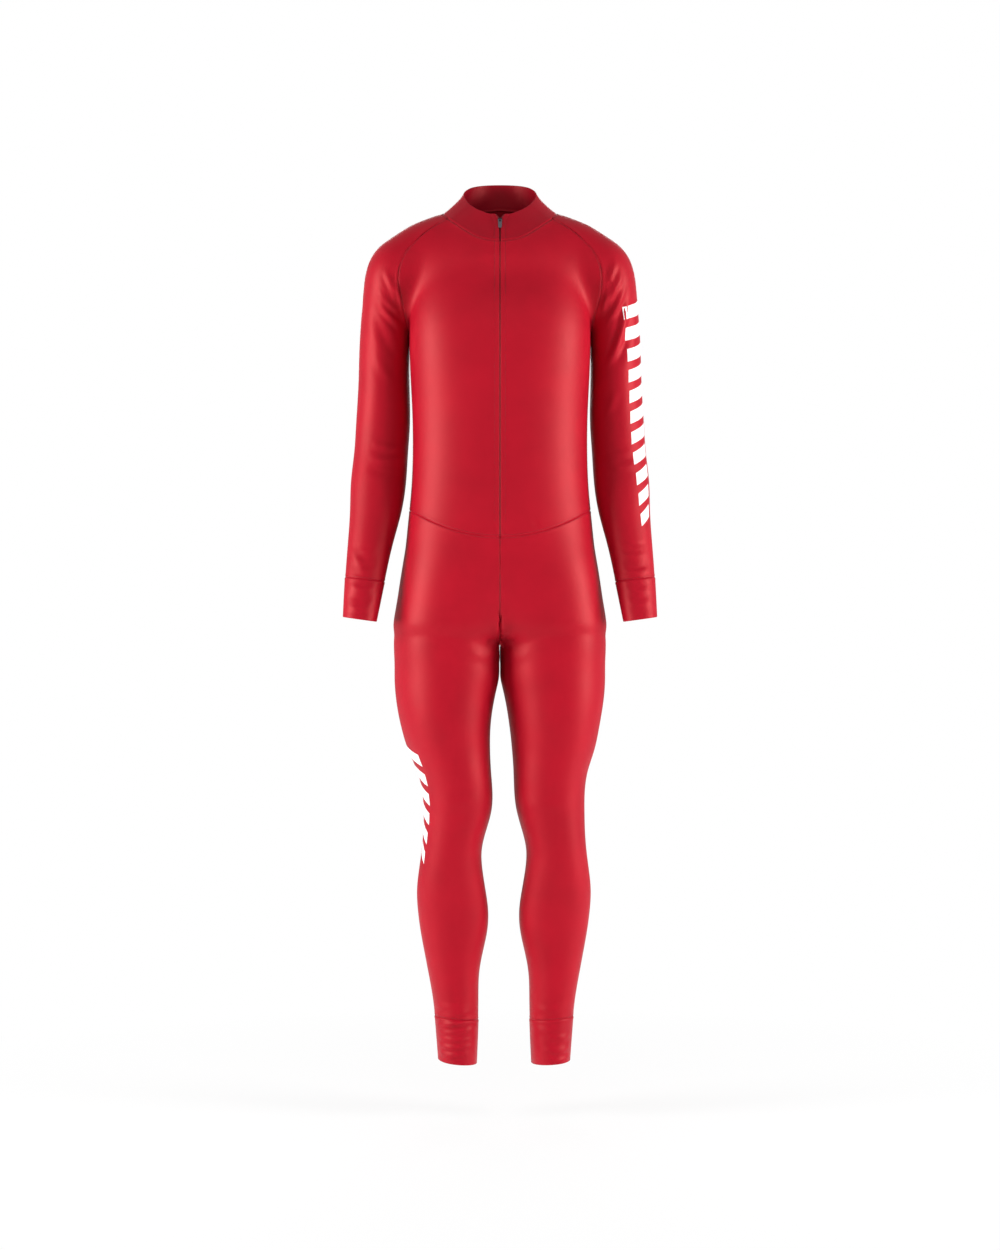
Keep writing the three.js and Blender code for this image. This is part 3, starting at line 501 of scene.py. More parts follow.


# ---- Folds: soft ridges and troughs, each placed one by one ----
# Each row: the face it lies on, its course as (across, height), its half width in millimetres and how
# strongly it stands up. A trough is below zero.

FRONT, BACK = on_front, on_back
ARM_FOLDS = {
    LEFT: [
        (FRONT, [(195, -84), (190, -98), (182, -118)], 4.5, 1.5),
        (FRONT, [(205, -104), (197, -124), (186, -142), (180, -154)], 5, 1.8),
        (FRONT, [(209, -126), (202, -148), (192, -168), (179, -184)], 5, 1.6),
        (FRONT, [(216, -146), (209, -186), (201, -216), (190, -242), (180, -256)], 5.5, 1.9),
        (FRONT, [(222, -156), (219, -196), (210, -228), (199, -256)], 8, -1.3),
        (FRONT, [(184, -128), (177, -148), (172, -163)], 4, 1.2),
        (FRONT, [(196, -300), (188, -322), (180, -338)], 6, 0.7),
        (FRONT, [(172, -404), (196, -408), (226, -400)], 6, 0.6),
        (FRONT, [(180, -420), (204, -428), (234, -420)], 6, 0.5),
        (FRONT, [(196, -552), (222, -560), (252, -557)], 3.2, -0.8),
        (FRONT, [(198, -574), (222, -579), (250, -574)], 4.5, 0.8),
        (FRONT, [(206, -590), (228, -598), (252, -590)], 5, -0.7),
        (FRONT, [(205, -604), (230, -607), (250, -601)], 4, 0.7),
        (BACK, [(196, -92), (188, -122), (176, -152)], 6, 1.4),
        (BACK, [(210, -118), (198, -152), (180, -186)], 6, 1.7),
        (BACK, [(222, -148), (210, -192), (188, -228)], 7, 1.3),
        (BACK, [(168, -378), (200, -386), (232, -374)], 6, 0.9),
        (BACK, [(172, -400), (204, -408), (238, -398)], 6, 0.7),
        (BACK, [(200, -566), (224, -572), (250, -563)], 5, 0.7),
    ],
    RIGHT: [
        (FRONT, [(-193, -102), (-184, -120), (-172, -144)], 4.5, 1.7),
        (FRONT, [(-205, -135), (-194, -148), (-180, -162), (-170, -170)], 4.5, 1.5),
        (FRONT, [(-206, -148), (-192, -166), (-178, -182), (-169, -190)], 5, 1.8),
        (FRONT, [(-178, -112), (-170, -134), (-163, -158)], 4, 1.2),
        (FRONT, [(-214, -160), (-202, -196), (-188, -226), (-176, -244)], 8, -0.9),
        (FRONT, [(-212, -230), (-198, -262), (-183, -286)], 7, 0.6),
        (FRONT, [(-156, -392), (-184, -396), (-216, -390)], 5, 0.9),
        (FRONT, [(-157, -410), (-186, -418), (-222, -411)], 5, 0.8),
        (FRONT, [(-168, -430), (-196, -436), (-226, -428)], 7, -0.6),
        (FRONT, [(-252, -566), (-238, -590), (-222, -610)], 6, 0.9),
        (FRONT, [(-202, -560), (-222, -572), (-244, -570)], 5, 0.6),
        (FRONT, [(-206, -588), (-226, -596), (-250, -592)], 4.5, -0.7),
        (BACK, [(-194, -96), (-184, -126), (-174, -156)], 6, 1.5),
        (BACK, [(-208, -124), (-196, -156), (-180, -182)], 6, 1.6),
        (BACK, [(-220, -156), (-206, -196), (-186, -224)], 7, 1.2),
        (BACK, [(-166, -384), (-198, -392), (-230, -382)], 6, 0.9),
        (BACK, [(-170, -408), (-206, -414), (-238, -404)], 6, 0.6),
        (BACK, [(-204, -572), (-228, -578), (-250, -570)], 5, 0.7),
    ],
}
CUFF_FOLDS = {
    LEFT: [
        (FRONT, [(208, -632), (230, -640), (252, -634)], 5, 0.6),
        (FRONT, [(214, -656), (232, -661), (254, -655)], 5, 0.5),
        (BACK, [(208, -640), (230, -646), (252, -638)], 5, 0.6),
    ],
    RIGHT: [
        (FRONT, [(-206, -630), (-226, -637), (-252, -628)], 4.5, 0.8),
        (FRONT, [(-212, -648), (-232, -652), (-254, -645)], 4.5, -0.7),
        (FRONT, [(-214, -664), (-236, -668), (-258, -661)], 4.5, 0.7),
        (BACK, [(-208, -642), (-230, -648), (-252, -640)], 5, 0.6),
    ],
}
LEG_FOLDS = {
    LEFT: [
        (FRONT, [(6, -742), (26, -748), (52, -742)], 7, 0.7),
        (FRONT, [(36, -990), (74, -1000), (118, -990)], 10, 0.6),
        (FRONT, [(52, -1340), (84, -1346), (118, -1339)], 5, 0.6),
        (BACK, [(40, -992), (84, -1000), (126, -990)], 7, 1.1),
        (BACK, [(42, -1012), (88, -1022), (128, -1011)], 6, 1.2),
        (BACK, [(46, -1036), (90, -1043), (130, -1032)], 7, 0.9),
        (BACK, [(20, -742), (60, -756), (110, -748)], 9, 1.1),
        (BACK, [(52, -1330), (86, -1338), (118, -1329)], 5, 0.8),
        (BACK, [(54, -1348), (86, -1353), (116, -1346)], 4, 0.7),
    ],
    RIGHT: [
        (FRONT, [(-6, -740), (-28, -747), (-54, -740)], 7, 0.7),
        (FRONT, [(-34, -984), (-72, -994), (-110, -984)], 10, 0.6),
        (FRONT, [(-108, -1336), (-72, -1344), (-38, -1338)], 5, 0.9),
        (FRONT, [(-108, -1353), (-70, -1352), (-38, -1345)], 3.5, 1.5),
        (BACK, [(-34, -990), (-78, -998), (-118, -988)], 7, 1.1),
        (BACK, [(-36, -1014), (-78, -1023), (-118, -1012)], 6, 1.3),
        (BACK, [(-40, -1038), (-82, -1044), (-120, -1034)], 7, 0.8),
        (BACK, [(-20, -744), (-62, -757), (-112, -747)], 9, 1.1),
        (BACK, [(-108, -1332), (-74, -1339), (-42, -1331)], 5, 1.0),
        (BACK, [(-106, -1350), (-74, -1354), (-44, -1347)], 4, 0.9),
    ],
}
ANKLE_FOLDS = {
    LEFT: [
        (FRONT, [(54, -1374), (84, -1380), (114, -1374)], 5, 0.5),
        (FRONT, [(78, -1389), (98, -1392), (118, -1387)], 4, 0.9),
        (FRONT, [(74, -1410), (96, -1414), (116, -1408)], 4.5, 1.0),
        (FRONT, [(80, -1425), (98, -1429), (115, -1424)], 3.5, 0.8),
        (BACK, [(54, -1384), (84, -1390), (112, -1382)], 5, 0.8),
        (BACK, [(54, -1408), (84, -1413), (112, -1406)], 5, 0.7),
    ],
    RIGHT: [
        (FRONT, [(-106, -1372), (-72, -1367), (-40, -1362)], 3.5, 1.5),
        (FRONT, [(-106, -1380), (-72, -1376), (-42, -1371)], 3, -1.0),
        (FRONT, [(-104, -1392), (-72, -1396), (-40, -1394)], 3.5, 1.1),
        (FRONT, [(-104, -1404), (-78, -1408), (-46, -1404)], 3.5, 1.2),
        (FRONT, [(-102, -1417), (-80, -1421), (-54, -1417)], 3.5, 0.9),
        (BACK, [(-106, -1374), (-74, -1380), (-42, -1372)], 4, 1.1),
        (BACK, [(-106, -1392), (-74, -1398), (-42, -1390)], 4, 1.2),
        (BACK, [(-104, -1410), (-74, -1415), (-44, -1408)], 4, 0.9),
    ],
}
TORSO_FOLDS = [
    (FRONT, [(148, -196), (150, -226), (146, -262)], 7, 0.9),
    (FRONT, [(-146, -192), (-149, -222), (-144, -256)], 7, 0.9),
    (FRONT, [(-44, -541), (-36, -552), (-30, -562)], 4, -0.7),
    (FRONT, [(66, -538), (60, -528), (54, -518)], 4, -0.6),
    (BACK, [(146, -190), (128, -226), (96, -258)], 12, 1.0),
    (BACK, [(-144, -188), (-130, -222), (-100, -250)], 12, 1.1),
    (BACK, [(-96, -430), (-40, -442), (30, -438), (92, -446)], 11, 1.2),
    (BACK, [(-110, -404), (-52, -412), (8, -406)], 10, 0.9),
    (BACK, [(104, -416), (56, -424), (6, -428)], 10, 0.8),
    (BACK, [(-118, -462), (-60, -468), (0, -464), (66, -470), (120, -462)], 8, 0.9),
]


FOLD_RISE = 1.8          # millimetres that a fold of height 1 stands up


def fold_heights(form, points, folds):
    """How far the folds lift each point."""
    total = np.zeros(len(points))
    for face, course, wide, high in folds:
        guide = np.array([face(form, x, z) for x, z in course])
        line = through(guide, max(int(np.linalg.norm(guide[-1] - guide[0]) / 1.5), 12))
        reach = 3.2 * wide       # beyond this a fold lifts nothing
        near = ((points > line.min(0) - reach) & (points < line.max(0) + reach)).all(1)
        if not near.any():
            continue
        away = np.linalg.norm(points[near, None] - line[None], axis=2)
        along = away.argmin(1) / (len(line) - 1)
        distance = away.min(1)
        crest = np.exp(-(distance / wide) ** 2)
        foot = 0.3 * np.exp(-((distance - 2 * wide) / (0.8 * wide)) ** 2)
        total[near] += FOLD_RISE * high * np.sin(np.pi * along) ** 0.7 * (crest - foot)
    return total


BATCH = 4000             # points measured at a time


def rim_distance(points, rims):
    """How far each point is from the nearest rim."""
    away = np.full(len(points), 1e9)
    every = np.vstack(rims)
    for start in range(0, len(points), BATCH):
        part = points[start:start + BATCH]
        squares = (part ** 2).sum(1)[:, None] + (every ** 2).sum(1)[None] - 2 * part @ every.T
        away[start:start + BATCH] = np.sqrt(np.maximum(squares.min(1), 0))
    return away


SEAM = {"sunk": 0.75, "narrow": 0.9, "proud": 0.3, "beside": 3.4, "soft": 1.8}
ZIP_FOLD = {"proud": 0.7, "from": 5.2, "to": 7.4, "stitched": 6.6, "sunk": 0.5, "narrow": 0.8}


def seam_relief(away):
    """A sewn edge turns under, and the cloth beside it stands a little proud."""
    beside = SEAM["proud"] * np.exp(-((away - SEAM["beside"]) / SEAM["soft"]) ** 2)
    return beside - SEAM["sunk"] * np.exp(-(away / SEAM["narrow"]) ** 2)


def zip_relief(away):
    """The edge folded over the zip's tape, with its row of stitches sunk in."""
    fold = ZIP_FOLD["proud"] * (1 - ease(away, ZIP_FOLD["from"], ZIP_FOLD["to"]))
    return fold - ZIP_FOLD["sunk"] * np.exp(-((away - ZIP_FOLD["stitched"]) / ZIP_FOLD["narrow"]) ** 2)


# ---- From a grid to a piece of cloth with two faces and an edge all round ----


class Panel:
    """One piece of cloth: its fine grid on the form, and how its face is lifted from it."""

    def __init__(self, name, form, grid, normals, closed, folds=(), hems=(), proud=0.0, zip_edge=None):
        self.name, self.form, self.closed = name, form, closed
        self.grid, self.normals, self.proud = grid, normals, proud
        self.folds, self.zip_edge = folds, zip_edge
        last = len(grid) - 1
        if closed:
            self.rims = {row: grid[row] for row in (0, last)}
        else:
            self.rims = {0: grid[0], last: grid[-1], "first": grid[:, 0], "last": grid[:, -1]}
        self.hems = hems
        sewn = [line for key, line in self.rims.items() if key not in hems and key != zip_edge]
        self.sewn = [np.vstack([line, (line[1:] + line[:-1]) / 2]) for line in sewn]
        self.lift = self.heights(grid.reshape(-1, 3)).reshape(grid.shape[:2])
        self.face = grid + normals * self.lift[..., None]

    def heights(self, points):
        total = np.full(len(points), self.proud)
        if self.folds and self.form:
            strength = bpy.context.scene.ski_suit_cloth.fold_strength
            total += strength * fold_heights(self.form, points, self.folds)
        if self.sewn:
            total += seam_relief(rim_distance(points, self.sewn))
        if self.zip_edge:
            total += zip_relief(rim_distance(points, [self.rims[self.zip_edge]]))
        return total

    def on_face(self, points):
        """Points near the form moved onto the cloth's face, with its normals."""
        base = settle(self.form, points, 4)
        normals = unit(slope(self.form, base))
        return base + normals * self.heights(base)[:, None], normals

    def build(self, thickness, material, slot):
        """A closed shell of two faces, with a rounded middle row that makes each edge a turned one."""
        face = self.face.copy()
        draw_in(face, self.closed)
        lining = face - self.normals * thickness
        outer, inner = face.reshape(-1, 3), lining.reshape(-1, 3)
        quads, borders = faces_of(face, self.normals, self.closed)
        under = len(outer)
        points, faces = [outer, inner], [quads, quads[:, ::-1] + under]
        made = 2 * under
        for loop, after in borders:
            out = self.rim_outward(outer, inner, loop, after)
            points.append((outer[loop] + inner[loop]) / 2 + out * thickness * RIM_ROUND)
            ring = made + np.arange(len(loop))
            step = np.roll(ring, -1 if (np.roll(loop, -1) == after).all() else 1)
            faces.append(np.stack([loop, after, step, ring], 1))
            faces.append(np.stack([ring, step, after + under, loop + under], 1))
            made += len(loop)
        places = self.cloth_places().reshape(-1, 2)
        uv = np.concatenate([places, places, np.zeros((made - 2 * under, 2))])
        return new_piece(self.name, np.concatenate(points), np.concatenate(faces), material, slot, uv)

    def rim_outward(self, outer, inner, loop, after):
        """The way out of the cloth along one of its borders."""
        rows, columns = self.grid.shape[:2]
        out = unit(np.cross(unit(outer[after] - outer[loop]), unit(outer[loop] - inner[loop])))
        row, column = loop // columns, loop % columns
        if not self.closed:
            column = np.clip(column, 1, columns - 2)
        beside = outer[np.clip(row, 1, rows - 2) * columns + column]
        return out * (np.sign(((outer[loop] - beside) * out).sum()) or 1)

    def cloth_places(self):
        """How far along the knit each point is, across and down, in metres."""
        across = np.linalg.norm(np.diff(self.grid, axis=1), axis=2).mean(0)
        down = np.linalg.norm(np.diff(self.grid, axis=0), axis=2).mean(1)
        u = np.concatenate([[0], np.cumsum(across)])
        v = np.concatenate([[0], np.cumsum(down)])
        return np.stack(np.meshgrid(u, v), -1) * MM


def draw_in(face, closed):
    """Draws each edge back by half the gap of its seam."""
    def pull(edge, beside):
        return edge + unit(beside - edge) * GAP / 2
    face[0], face[-1] = pull(face[0], face[1]), pull(face[-1], face[-2])
    if not closed:
        face[:, 0], face[:, -1] = pull(face[:, 0], face[:, 1]), pull(face[:, -1], face[:, -2])


def faces_of(grid, normals, closed):
    """The faces of a grid, turned outward, and its borders as pairs of rows of points to wall up."""
    rows, columns = grid.shape[:2]
    index = np.arange(rows * columns).reshape(rows, columns)
    if closed:
        index = np.concatenate([index, index[:, :1]], 1)
        loops = [index[0, :-1], index[-1, :-1]]
    else:
        loops = [np.concatenate([index[0], index[1:, -1], index[-1, -2::-1], index[-2:0:-1, 0]])]
    quads = np.stack([index[:-1, :-1], index[:-1, 1:], index[1:, 1:], index[1:, :-1]], -1).reshape(-1, 4)
    points = grid.reshape(-1, 3)
    one, two, three = (points[quads[:, k]] for k in range(3))
    if (np.cross(two - one, three - one) * normals.reshape(-1, 3)[quads[:, 0]]).sum() < 0:
        quads = quads[:, ::-1]
    edges = {(a, b) for quad in quads.tolist() for a, b in zip(quad, quad[1:] + quad[:1])}
    borders = []
    for loop in loops:
        after = np.roll(loop, -1)
        against = (int(loop[0]), int(after[0])) in edges
        borders.append((after, loop) if against else (loop, after))
    return quads, borders


def new_piece(name, points, faces, material, slot, uv=None):
    """A mesh in metres from points in millimetres, which rides on the suit."""
    mesh = bpy.data.meshes.new(name)
    mesh.from_pydata((points * MM).tolist(), [], faces.tolist())
    if uv is not None:
        layer = mesh.uv_layers.new(name="cloth")
        layer.data.foreach_set("uv", uv[faces.reshape(-1)].astype(np.float32).ravel())
    mesh.shade_smooth()
    mesh.set_sharp_from_angle(angle=math.radians(SHARP_DEGREES))
    mesh.materials.append(material)
    if mesh.validate():
        raise RuntimeError(f"{name} has faces that don't hold together")
    piece = bpy.data.objects.new(name, mesh)
    bpy.context.scene.collection.objects.link(piece)
    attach(piece, SUIT)
    return piece


# ---- The panels, each made once ----

ZIP_LAP = 1.4            # how far each folded edge laps over the coil below the slider


def lap_over_zip(panel, edge, side, share):
    """Draws a folded edge in over the coil of the zip."""
    near = 1 - ease(np.linalg.norm(panel.grid - edge, axis=2), 0, 14)
    panel.face[..., 0] -= side * ZIP_LAP * near * share


EDGE_STATIONS = (0.05, 0.13)     # extra rows beside a seam, as shares of a guide cell
FINE_EDGE = (0.03, 0.08, 0.16)


@lru_cache(maxsize=None)
def front_panel(side):
    s = seams()
    outer = np.vstack([s["front_raglan"], s["side"][1:]])
    guide = patch(body_form, s["front_neck"], s["waist_cut"], s["middle"], outer)
    down = stations(CUTS["raglan"] + CUTS["side"], 8, FINE_EDGE, FINE_EDGE)
    across = stations(CUTS["front"], 6, (0.06, 0.25, 0.4), EDGE_STATIONS)
    grid = refined(guide, down, across)
    grid[0], grid[-1] = chained([s["front_neck"]], across), chained([s["waist_cut"]], across)
    grid[:, -1] = chained([s["front_raglan"], s["side"]], down)
    grid[:, 0] = chained([s["middle"]], down)
    grid = settle(body_form, grid, 3)
    grid[:, 0, 0] = FRONT_EDGE
    if side == RIGHT:
        grid = mirrored(grid)
    normals = unit(slope(body_form, grid.reshape(-1, 3))).reshape(grid.shape)
    panel = Panel(f"front_{side_name(side)}_knit", body_form, grid, normals, False, TORSO_FOLDS,
                  zip_edge="first")
    lap_over_zip(panel, grid[:, :1], side, 1)
    return panel


@lru_cache(maxsize=None)
def back_panel():
    s = seams()
    edge = np.vstack([s["back_raglan"], s["side"][1:]])
    waist = np.vstack([s["waist_back"], mirrored(s["waist_back"])[::-1][1:]])
    guide = patch(body_form, s["back_neck"], waist, edge, mirrored(edge))
    down = stations(CUTS["raglan"] + CUTS["side"], 8, FINE_EDGE, FINE_EDGE)
    across = stations(CUTS["back_neck"], 7, EDGE_STATIONS, EDGE_STATIONS)
    grid = refined(guide, down, across)
    half = s["waist_back"]
    grid[0] = chained([s["half_back_neck"], mirrored(s["half_back_neck"])[::-1]], across)
    grid[-1] = chained([half, mirrored(half)[::-1]], across)
    grid[:, 0] = chained([s["back_raglan"], s["side"]], down)
    grid[:, -1] = mirrored(grid[:, 0])
    grid = settle(body_form, grid, 3)
    normals = unit(slope(body_form, grid.reshape(-1, 3))).reshape(grid.shape)
    return Panel("back_knit", body_form, grid, normals, False, TORSO_FOLDS)


@lru_cache(maxsize=None)
def sleeve_panel(side):
    s = seams()
    form = sleeve_form(side)
    turn = (lambda line: line) if side == LEFT else mirrored
    runs = [turn(s["front_raglan"][::-1]), turn(s["neck"]), turn(s["back_raglan"])]
    loop = np.vstack([runs[0], runs[1][1:], runs[2][1:-1]])
    count = len(loop)
    rings = [limb_ring(form, ARM, side, z, count) for z in (-245, -320, -400, -480, -550)]
    wrist = limb_ring(form, ARM, side, WRIST["seam"], count, WRIST["drop"])
    paths = []
    for j, start in enumerate(loop):
        reach = 0.35 * np.linalg.norm(start - rings[0][j]) * math.sin(math.pi * j / count) ** 2
        over = (start + rings[0][j]) / 2 + np.array([side * 0.74 * reach, 0, 0.67 * reach])
        t = np.linspace(0, 1, 13)[:, None]
        bend = start * (1 - t) ** 2 + over * 2 * t * (1 - t) + rings[0][j] * t ** 2
        paths.append(np.vstack([bend, [ring[j] for ring in rings[1:]], wrist[j]]))
    guide = tube(form, paths, SLEEVE_ROWS, 2)
    down = stations(SLEEVE_ROWS, 10, FINE_EDGE, FINE_EDGE)
    across = stations(count, 5)[:-1]
    grid = refined(guide, down, across, True)
    grid[0] = chained(runs, across)
    grid = settle(form, grid, 3)
    normals = unit(slope(form, grid.reshape(-1, 3))).reshape(grid.shape)
    return Panel(f"sleeve_{side_name(side)}_knit", form, grid, normals, True, ARM_FOLDS[side])


@lru_cache(maxsize=None)
def cuff_panel(side, limb_name):
    limb, ends = (ARM, WRIST) if limb_name == "arm" else (LEG, ANKLE)
    form = sleeve_form(side) if limb is ARM else leg_form(side)
    count = 96 if limb is ARM else 116
    shares = np.unique(np.concatenate([np.linspace(0, 1, 25), [0.012, 0.03, 0.975, 0.99]]))
    levels = ends["seam"] + (ends["hem"] - ends["seam"]) * shares
    grid = np.stack([limb_ring(form, limb, side, z, count, ends["drop"]) for z in levels])
    normals = unit(slope(form, grid.reshape(-1, 3))).reshape(grid.shape)
    folds = (CUFF_FOLDS if limb is ARM else ANKLE_FOLDS)[side]
    name = f"cuff_{side_name(side)}" if limb is ARM else f"ankle_cuff_{side_name(side)}"
    last = len(levels) - 1
    return Panel(name + "_band", form, grid, normals, True, folds, hems=(last,), proud=0.7)


@lru_cache(maxsize=None)
def leg_panel(side):
    s = seams()
    form, skin = leg_form(side), leg_skin(side)
    half = side * GAP / 2

    def middle(line):
        line = line.copy()
        line[:, 0] = half
        return line

    turn = (lambda line: line) if side == LEFT else mirrored
    front, back = turn(s["waist_front"]).copy(), turn(s["waist_back"]).copy()
    front[0, 0] = back[-1, 0] = half
    runs = [middle(s["under_front"][::-1]), front, back, middle(s["under_back"][::-1])]
    loop = np.vstack([runs[0], runs[1][1:], runs[2][1:], runs[3][1:-1]])
    count = len(loop)
    rings = [limb_ring(form, LEG, side, z, count) for z in (-800, -900, -1010, -1112, -1200, -1290)]
    ankle = limb_ring(form, LEG, side, ANKLE["seam"], count, ANKLE["drop"])
    paths = [np.vstack([start, [ring[j] for ring in rings], ankle[j]]) for j, start in enumerate(loop)]
    guide = tube(form, paths, LEG_ROWS, 4)
    down = stations(LEG_ROWS, 13, (0.02, 0.05, 0.1), (0.02, 0.05))
    across = stations(count, 6)[:-1]
    grid = refined(guide, down, across, True)
    grid[0] = chained(runs, across)
    grid = settle(form, grid, 3)
    grid[0, across <= CUTS["under_front"], 0] = half
    grid[0, across >= count - CUTS["under_back"], 0] = half
    normals = unit(slope(skin, grid.reshape(-1, 3))).reshape(grid.shape)
    return Panel(f"leg_{side_name(side)}_knit", form, grid, normals, True, LEG_FOLDS[side])


def rim_at(degrees):
    a = np.radians(degrees)
    level = (COLLAR_RIM["front"] + COLLAR_RIM["back"]) / 2
    swing = (COLLAR_RIM["back"] - COLLAR_RIM["front"]) / 2
    z = level - swing * np.cos(a) + (COLLAR_RIM["side"] - level) * np.sin(a) ** 2
    deep = np.where(degrees < 90, COLLAR_RING["front"], COLLAR_RING["back"])
    return np.stack([COLLAR_RING["half"] * np.sin(a), -deep * np.cos(a), z], -1)


def collar_guide():
    s = seams()
    base = np.vstack([s["front_neck"], s["neck"][1:], s["half_back_neck"][1:]])
    first = math.degrees(math.asin(FRONT_EDGE / 80))
    angles = np.concatenate([
        np.linspace(first, NECK_CORNERS[0], CUTS["front"] + 1),
        np.linspace(*NECK_CORNERS, CUTS["neck"] + 1)[1:],
        np.linspace(NECK_CORNERS[1], 180, CUTS["back_neck"] // 2 + 1)[1:],
    ])
    rim = rim_at(angles)
    rows = []
    for share in COLLAR_SHARES:
        row = base + (rim - base) * share
        opening = max((share - COLLAR_SHARES[2]) / (1 - COLLAR_SHARES[2]), 0)
        slide = FRONT_EDGE + ZIP_FLARE * opening - row[0, 0]
        row[:, 0] += slide * np.maximum(1 - np.arange(len(row)) / 4, 0)
        rows.append(row)
    return np.stack(rows)


@lru_cache(maxsize=None)
def collar_panel():
    half = collar_guide()
    guide = np.concatenate([half, mirrored(half)[:, ::-1][:, 1:]], 1)
    down = stations(3, 10, (0.03, 0.08, 0.16), (0.02, 0.05))
    across = stations(guide.shape[1] - 1, 5, (0.06, 0.12), (0.06, 0.12))
    grid = refined(guide, down, across)
    share = np.interp(down, np.arange(4), COLLAR_SHARES)[:, None]
    between_rims = np.sin(np.pi * share) ** 2
    normals = grid_normals(grid, np.array([0, 4, 0]))
    last = len(grid) - 1
    panel = Panel("collar_band", None, grid, normals, False, hems=(last, "first", "last"))
    turn = np.linspace(0, 2 * np.pi, grid.shape[1])[None]
    # Soft waves round the collar: half height, waves in a turn and where they start.
    waves = sum(high * np.sin(count * turn + start) for high, count, start in ((0.5, 3, 0.6), (0.35, 7, 2.1)))
    panel.face += normals * (waves * between_rims)[..., None]
    away = rim_distance(grid.reshape(-1, 3), [grid[:, 0], grid[:, -1]]).reshape(grid.shape[:2])
    panel.face += normals * zip_relief(away)[..., None]
    below_slider = 1 - ease(share, 0.35, 0.55)
    lap_over_zip(panel, grid[:, :1], LEFT, below_slider)
    lap_over_zip(panel, grid[:, -1:], RIGHT, below_slider)
    return panel


def side_name(side):
    return "left" if side == LEFT else "right"


# ---- Small parts: threads, teeth and printed bars ----


def capsules(places, ways, ups, long, wide, high):
    """Small rounded bars at places, each along its way, with its flat side down."""
    sides = 6
    turn = 2 * np.pi * np.arange(sides) / sides
    rings = [(-0.5, 0.35), (-0.32, 1.0), (0.32, 1.0), (0.5, 0.35)]
    template = np.array([(t * long, math.cos(a) * k * wide / 2, math.sin(a) * k * high / 2)
                         for t, k in rings for a in turn])
    quad = ((0, 0), (0, 1), (1, 1), (1, 0))
    faces = [[(r + dr) * sides + (j + dj) % sides for dr, dj in quad] for r in range(3) for j in range(sides)]
    caps = [[0, 5, 4, 3], [0, 3, 2, 1], [18, 19, 20, 21], [18, 21, 22, 23]]
    across = unit(np.cross(ups, ways))
    lifted = unit(np.cross(ways, across))
    points = (places[:, None] + template[None, :, :1] * ways[:, None]
              + template[None, :, 1:2] * across[:, None] + template[None, :, 2:] * lifted[:, None])
    shift = (np.arange(len(places)) * len(template))[:, None, None]
    every = (np.array(faces + caps)[None] + shift).reshape(-1, 4)
    return points.reshape(-1, 3), every


def joined_parts(parts):
    points, faces, start = [], [], 0
    for p, f in parts:
        points.append(p)
        faces.append(f + start)
        start += len(p)
    return np.concatenate(points), np.concatenate(faces)


def stitches(panel, line, inner, distance, pitch, lift=0.06):
    """A row of stitches on a panel's face, at a distance inside one of its edges."""
    toward = unit(inner - line)
    row = evenly(line + toward * distance, max(int(run_of(line) / pitch), 2))
    if panel.form:
        face, normals = panel.on_face(row)
    else:
        grid, flat = panel.face.reshape(-1, 3), panel.normals.reshape(-1, 3)
        nearest = np.array([np.argmin(((grid - p) ** 2).sum(1)) for p in row])
        face = row + flat[nearest] * ((grid[nearest] - row) * flat[nearest]).sum(1)[:, None]
        normals = flat[nearest]
    way = unit(np.gradient(face, axis=0))
    return capsules(face + normals * lift, way, normals, pitch * 0.74, 0.55, 0.42)


# ---- Materials ----


def linear(text):
    """An sRGB hex colour as linear red, green and blue."""
    parts = [int(text[i:i + 2], 16) / 255 for i in (1, 3, 5)]
    return tuple(c / 12.92 if c <= 0.04045 else ((c + 0.055) / 1.055) ** 2.4 for c in parts)


def add_node(tree, kind, out=None, settings=None, **links):
    """A node with its settings and inputs (i0 is its first input), or its output where one is named."""
    node = tree.nodes.new(kind)
    for key, value in (settings or {}).items():
        setattr(node, key, value)
    for key, value in links.items():
        numbered = key[0] == "i" and key[1:].isdigit()
        socket = node.inputs[int(key[1:]) if numbered else key.replace("_", " ")]
        if isinstance(value, bpy.types.NodeSocket):
            tree.links.new(value, socket)
        else:
            socket.default_value = value
    return node if out is None else node.outputs[out]


def start_material(name):
    material = bpy.data.materials.new(name)
    material.use_nodes = True
    material.node_tree.nodes.clear()
    return material, material.node_tree


def rgba(colour):
    return (*colour, 1.0)


def shade(colour, factor):
    return rgba(tuple(min(c * factor, 1) for c in colour))


def tones(ramp, colour, low, high, ends=(0.0, 1.0)):
    """Sets a ramp's two stops to a darker and a lighter tone of a colour."""
    for element, end, tone in zip(ramp.color_ramp.elements, ends, (low, high)):
        element.position, element.color = end, shade(colour, tone)
    return ramp.outputs["Color"]


WALE_MM = 1.4            # real wales are 0.5 mm apart, too fine to show, so they are drawn this coarse
COURSE_MM = 0.8 * WALE_MM
BAND_METRES = 0.31416    # between the bands of a wave texture of scale 1


